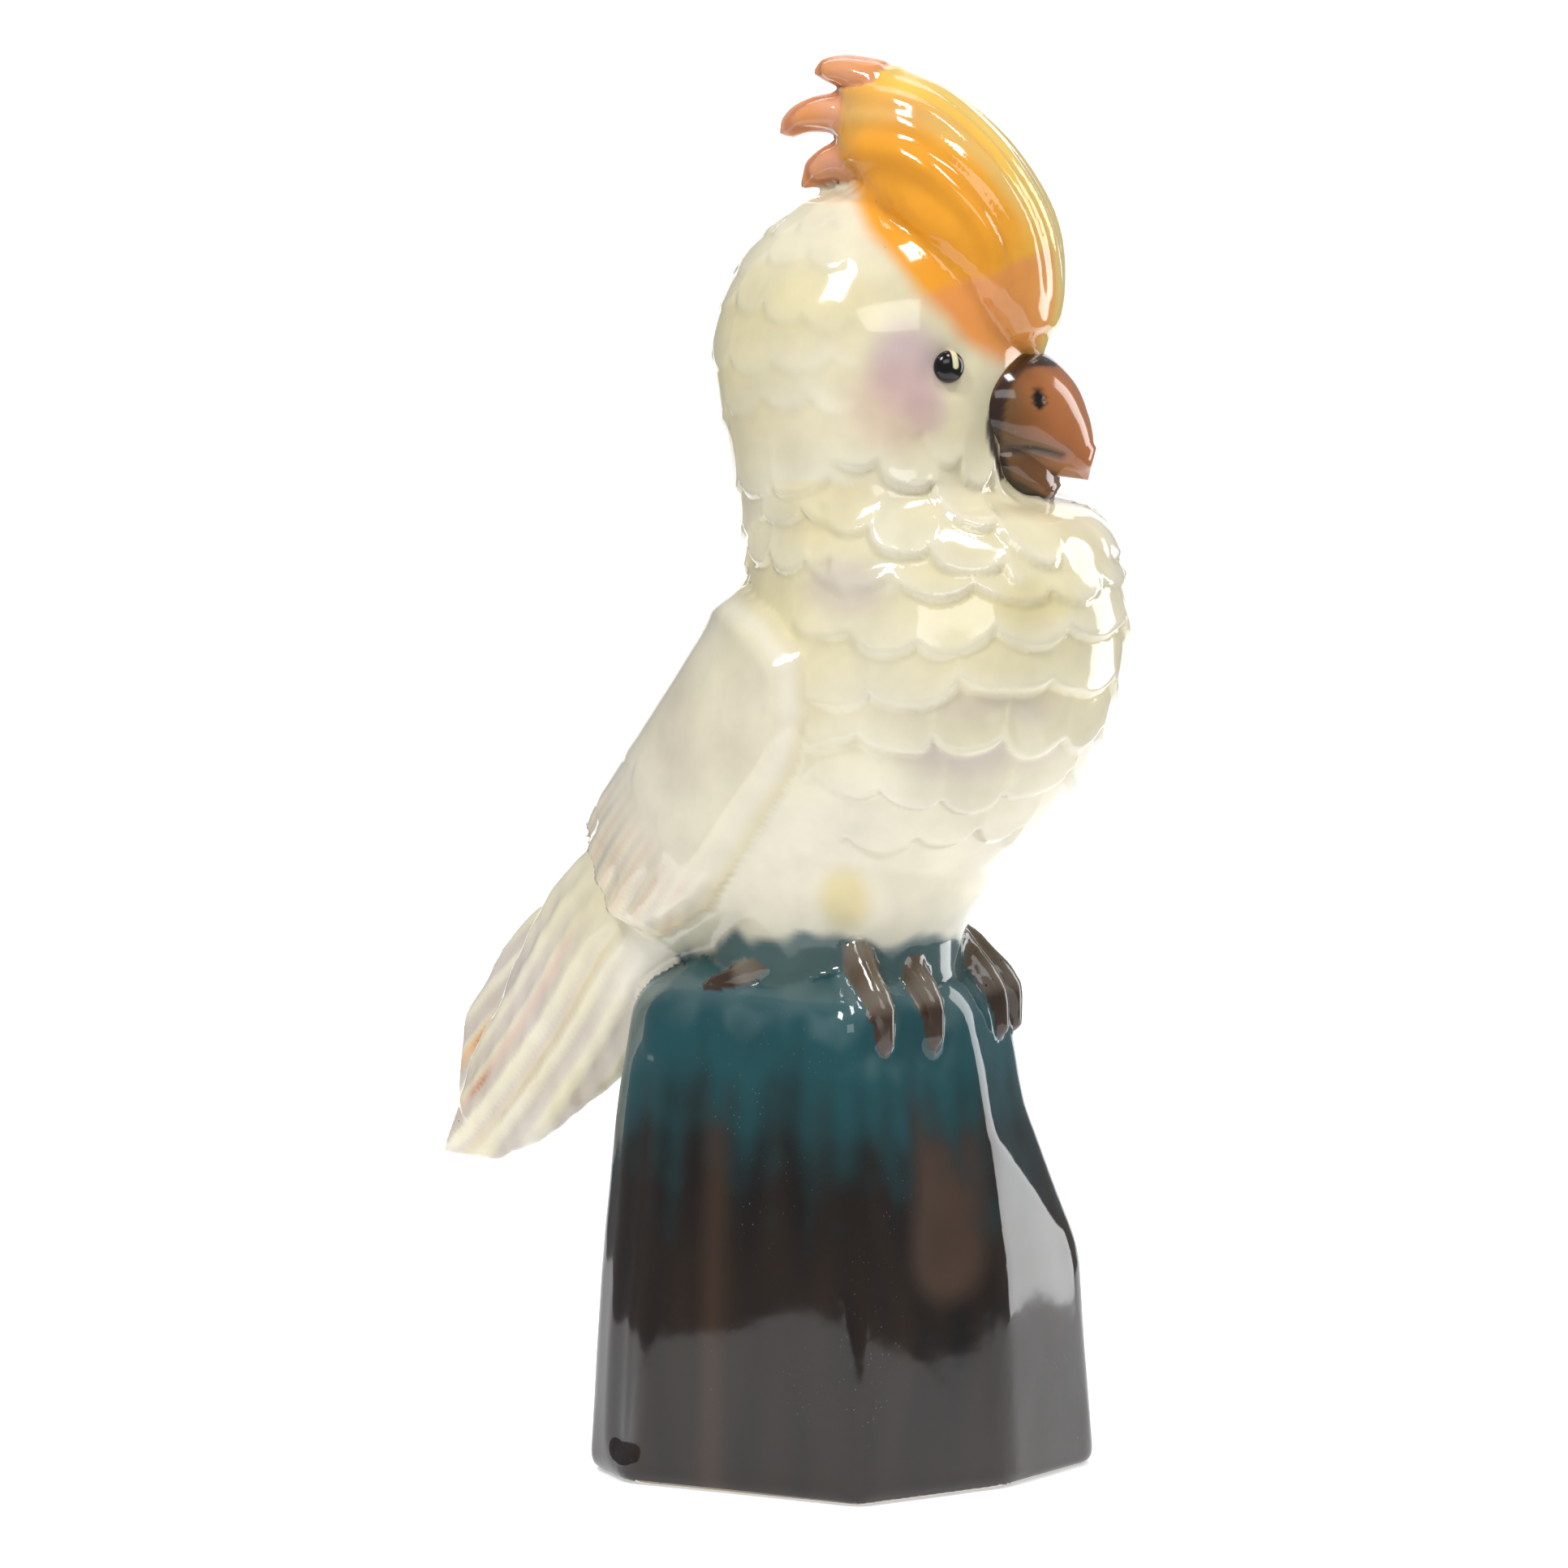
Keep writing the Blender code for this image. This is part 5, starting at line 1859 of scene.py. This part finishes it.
class Cockatoo:
    """The whole figurine: castings parted from one skin, and the pieces set into it.

    Attributes:
        STUMP: The stump's number on the skin.
        TORSO: The torso's number on the skin.
        NEAR: How far from its form a casting's faces may lie.
        CLEAR: How much nearer a later casting's form has to be to take a face.
        FOOT: Height under which the stump is left open.
        THIN_WEIGHT: How far the skin of plumes and toes may be evened out.
    """

    STUMP, TORSO = 0, 1
    NEAR, CLEAR, FOOT, THIN_WEIGHT = 1.2, 0.02, 0.45, 0.5
    TAIL_CORE = Limb(
        ((0.5, 25, 59, 7, 6), (0.5, 33, 50.5, 6.2, 5), (0.5, 40, 42.5, 5, 3.6), (0.5, 45, 37, 3.4, 2.2)),
        ((0.5, 20, 63), (0.5, 48, 34)),
    )
    RIGHT_BLADE = Limb(
        ((-5.8, 18.5, 67, 6.2, 9.5), (-5, 25.5, 60.5, 5.6, 10.2), (-4, 33, 51, 4.4, 9.2),
         (-3.4, 40.5, 42.5, 3.2, 7), (-3, 46.2, 36.8, 2.2, 4.4)),
        ((-5.8, 13, 71), (-2.6, 52, 33.4)),
    )
    LEFT_BLADE = Limb(
        ((6.6, 20.5, 67, 5.2, 7), (5.6, 28, 60.5, 4, 8.4), (4.2, 37, 53.8, 2.8, 9.6),
         (2.8, 44.6, 46.8, 2.2, 7.4), (2.1, 49, 42, 1.8, 4.4)),
        ((6.6, 14, 72), (1.6, 52.5, 39)),
    )
    PLUMES = {
        "crest_plume_top": Limb(
            ((0, 0.5, 157.9, 4.6, 2.4), (0, 4, 158.9, 3.6, 1.9), (0, 6.4, 159, 2.4, 1.4)),
            ((0, -2, 156.8), (0, 8, 158.7)),
        ),
        "crest_plume_middle": Limb(
            ((0, 1, 153.6, 4, 2.8), (0, 5.6, 154.2, 3.2, 2.3), (0, 8.8, 153.7, 2.4, 1.8),
             (0, 10.6, 152.5, 1.6, 1.3)),
            ((0, -2, 153), (0, 11.8, 151.6)),
        ),
        "crest_plume_low": Limb(
            ((0, 1, 148.4, 4, 2.8), (0, 5, 148.7, 3.2, 2.3), (0, 7.4, 147.5, 2.4, 1.8)),
            ((0, -2, 148), (0, 9.4, 145.6)),
        ),
    }
    TOES = {
        "right_outer_toe": (
            (-7.5, -3.6, 62, 1.5), (-11, -8.6, 61, 1.6), (-13.4, -13.2, 57, 1.5), (-13.4, -13.6, 51, 0.9),
        ),
        "right_inner_toe": (
            (-3, -4, 62, 1.5), (-5.2, -10.4, 61.5, 1.6), (-6.6, -16, 58, 1.5), (-6.6, -16.6, 51, 0.9),
        ),
        "right_rear_toe": (
            (-9, -4, 62, 1.2), (-12.6, -0.5, 61.5, 1.4), (-15, 4.5, 60, 1.2), (-15.5, 9, 58, 0.7),
        ),
        "left_outer_toe": (
            (9, -4, 62, 1.5), (11, -9.4, 61, 1.7), (12.8, -15.6, 58, 1.7), (13.6, -16.6, 51, 0.9),
        ),
        "left_inner_toe": (
            (5, -4.4, 62, 1.5), (6.6, -10.4, 61.5, 1.6), (7.4, -16.6, 58, 1.5), (7.4, -17, 51, 0.9),
        ),
        "left_rear_toe": (
            (10.5, -3.6, 62, 1.2), (14.2, -0.5, 61.5, 1.4), (18, 3.5, 60, 1.2), (19.4, 8, 57, 0.7),
        ),
    }
    UPPER = Limb(
        ((0, -10.5, 123.2, 8.4, 5.0), (0, -14, 122.0, 9.4, 6.9), (0, -17.4, 119.8, 8.2, 6.6),
         (0, -20.2, 117.4, 5.6, 4.8), (0, -22.2, 115.4, 2.9, 2.8)),
        ((0, -8, 125), (0, -23.6, 113.4)), 10, 96,
    )
    LOWER = Limb(
        ((0, -12.6, 118.4, 7.4, 5.2), (0, -15.0, 115.6, 7.6, 5.6), (0, -17.2, 113.1, 5.6, 4.1),
         (0, -18.6, 111.5, 3.0, 2.3)),
        ((0, -11, 121), (0, -19.2, 110.6)), 10, 96,
    )

    def __init__(self, stand: Stand) -> None:
        """Lists the pieces and makes the finishes.

        Args:
            stand: Where the stump's axis and the head stand.
        """
        self.stand = stand
        self.castings = self.list_castings()
        self.loose = [
            Mandible("upper_mandible", "beak_glaze", self.UPPER, True),
            Mandible("lower_mandible", "beak_glaze", self.LOWER, False),
            Eye("right_eye", "eye_enamel", Side.RIGHT),
            Eye("left_eye", "eye_enamel", Side.LEFT),
        ]
        self.materials = {name: finish.build() for name, finish in FINISHES.items()}

    def list_castings(self) -> list[Casting]:
        """The castings; the first owner of a face keeps it unless a later one takes it over.

        Returns:
            The castings, in the order of their numbers on the skin.
        """
        cream, crest, toe = "cream_glaze", "crest_glaze", "toe_glaze"
        castings: list[Casting] = [
            Stump("stump", "stump_glaze", 2.0),
            Torso("torso", cream),
            Feather("tail", cream, limb=self.TAIL_CORE),
            Feather("right_flight_feathers", cream, limb=self.RIGHT_BLADE),
            Feather("left_flight_feathers", cream, limb=self.LEFT_BLADE, blush=Glaze.AMBER),
            Crest("crest", crest),
        ]
        castings += [Plume(node, crest, 0.5, limb=limb) for node, limb in self.PLUMES.items()]
        castings += [Toe(node, toe, 0.4, track=track) for node, track in self.TOES.items()]
        castings.append(Head("head", cream))
        castings += [Wing("right_wing", cream, side=Side.RIGHT), Wing("left_wing", cream, side=Side.LEFT)]
        return castings

    def build(self) -> None:
        """Models, presses, glazes and parts the castings, then sets the loose pieces in."""
        clay = Clay()
        trees = self.throw(clay)
        clay.measure()
        self.share_out(clay, trees)
        patches = [Patch(clay, self.touched(clay, index), self.stand) for index in range(len(self.castings))]
        weight = np.ones(len(clay.points))
        for casting, patch in zip(self.castings, patches):
            if isinstance(casting, (Plume, Toe)):
                weight[patch.mine] = self.THIN_WEIGHT
        clay.relax(Clay.RELAX_PASSES, weight)
        clay.measure()
        for casting, patch in zip(self.castings, patches):
            casting.press(patch)
        clay.relax(Clay.SETTLE_PASSES, np.ones(len(clay.points)))
        clay.measure()
        for casting, patch in zip(self.castings, patches):
            casting.brush(patch)
        for index, casting in enumerate(self.castings):
            piece = clay.part(index, f"glazed_{casting.node}", casting.wall, self.stand.origin)
            self.fit(piece, casting.node, casting.slot)
        for loose in self.loose:
            self.fit(loose.build(self.stand), loose.node, loose.slot)
        core = Biscuit("stump", "stump_glaze").build(self.stand)
        self.fit(core, "stump", "stump_glaze", "biscuit")

    def throw(self, clay: Clay) -> list[BVHTree | None]:
        """Adds every casting's forms to the clay and fuses them.

        Args:
            clay: The skin.

        Returns:
            Each casting's own surface, or None where it has no forms.
        """
        trees: list[BVHTree | None] = []
        for casting in self.castings:
            bm = casting.forms(self.stand)
            if not bm.faces:
                bm.free()
                trees.append(None)
                continue
            shape = bpy.data.meshes.new(casting.node)
            bm.to_mesh(shape)
            clay.form.from_mesh(shape)
            bpy.data.meshes.remove(shape)
            trees.append(BVHTree.FromBMesh(bm))
            bm.free()
        clay.fuse()
        return trees

    def share_out(self, clay: Clay, trees: list[BVHTree | None]) -> None:
        """Gives each face to the casting whose form is nearest, then lets head and wings take theirs.

        Args:
            clay: The skin.
            trees: Each casting's own surface.
        """
        spots = clay.centres()
        nearest = np.full(len(spots), self.NEAR)
        clay.owner = np.full(len(spots), self.TORSO)
        for index, tree in enumerate(trees):
            if tree is None:
                continue
            for number, spot in enumerate(spots):
                hit = tree.find_nearest(Vector(spot), float(nearest[number]))
                if hit[0] is not None and hit[3] < nearest[number] - self.CLEAR:
                    nearest[number] = hit[3]
                    clay.owner[number] = index
        torso = clay.owner == self.TORSO
        for index, casting in enumerate(self.castings):
            taken = casting.owns(spots)
            if taken is not None:
                clay.owner[torso & taken] = index
        foot = (clay.owner == self.STUMP) & (spots[:, 2] < self.FOOT)
        clay.owner[foot] = -1
        LOG.info("faces to a casting: %s", np.bincount(clay.owner + 1, minlength=len(self.castings) + 1))

    def touched(self, clay: Clay, index: int) -> Array:
        """Finds a casting's vertices, where one on a seam goes to the later casting.

        Args:
            clay: The skin.
            index: The casting's number.

        Returns:
            Whether each vertex is the casting's.
        """
        latest = np.zeros(len(clay.points), int)
        for corner in range(4):
            np.maximum.at(latest, clay.corners[:, corner], clay.owner)
        return latest == index

    def fit(self, piece: bpy.types.Object, node: str, slot: str, finish: str = "") -> None:
        """Dresses a piece, hangs it on the body and lets it stand for its CAD node.

        Args:
            piece: The piece.
            node: The CAD node.
            slot: The material slot.
            finish: The finish, where it isn't the slot's own.
        """
        piece.data.materials.append(self.materials[finish or slot])
        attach(piece, BODY)
        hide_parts(node)
        LOG.info("%s: %d faces", piece.name, len(piece.data.polygons))


def main() -> None:
    """Builds the figurine and the studio in order."""
    logging.basicConfig(level=logging.INFO, format="%(name)s: %(message)s")
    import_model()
    stand = Stand.from_frame()
    Cockatoo(stand).build()
    Studio(stand).build()
    bpy.context.view_layer.update()


if __name__ == "__main__":
    main()
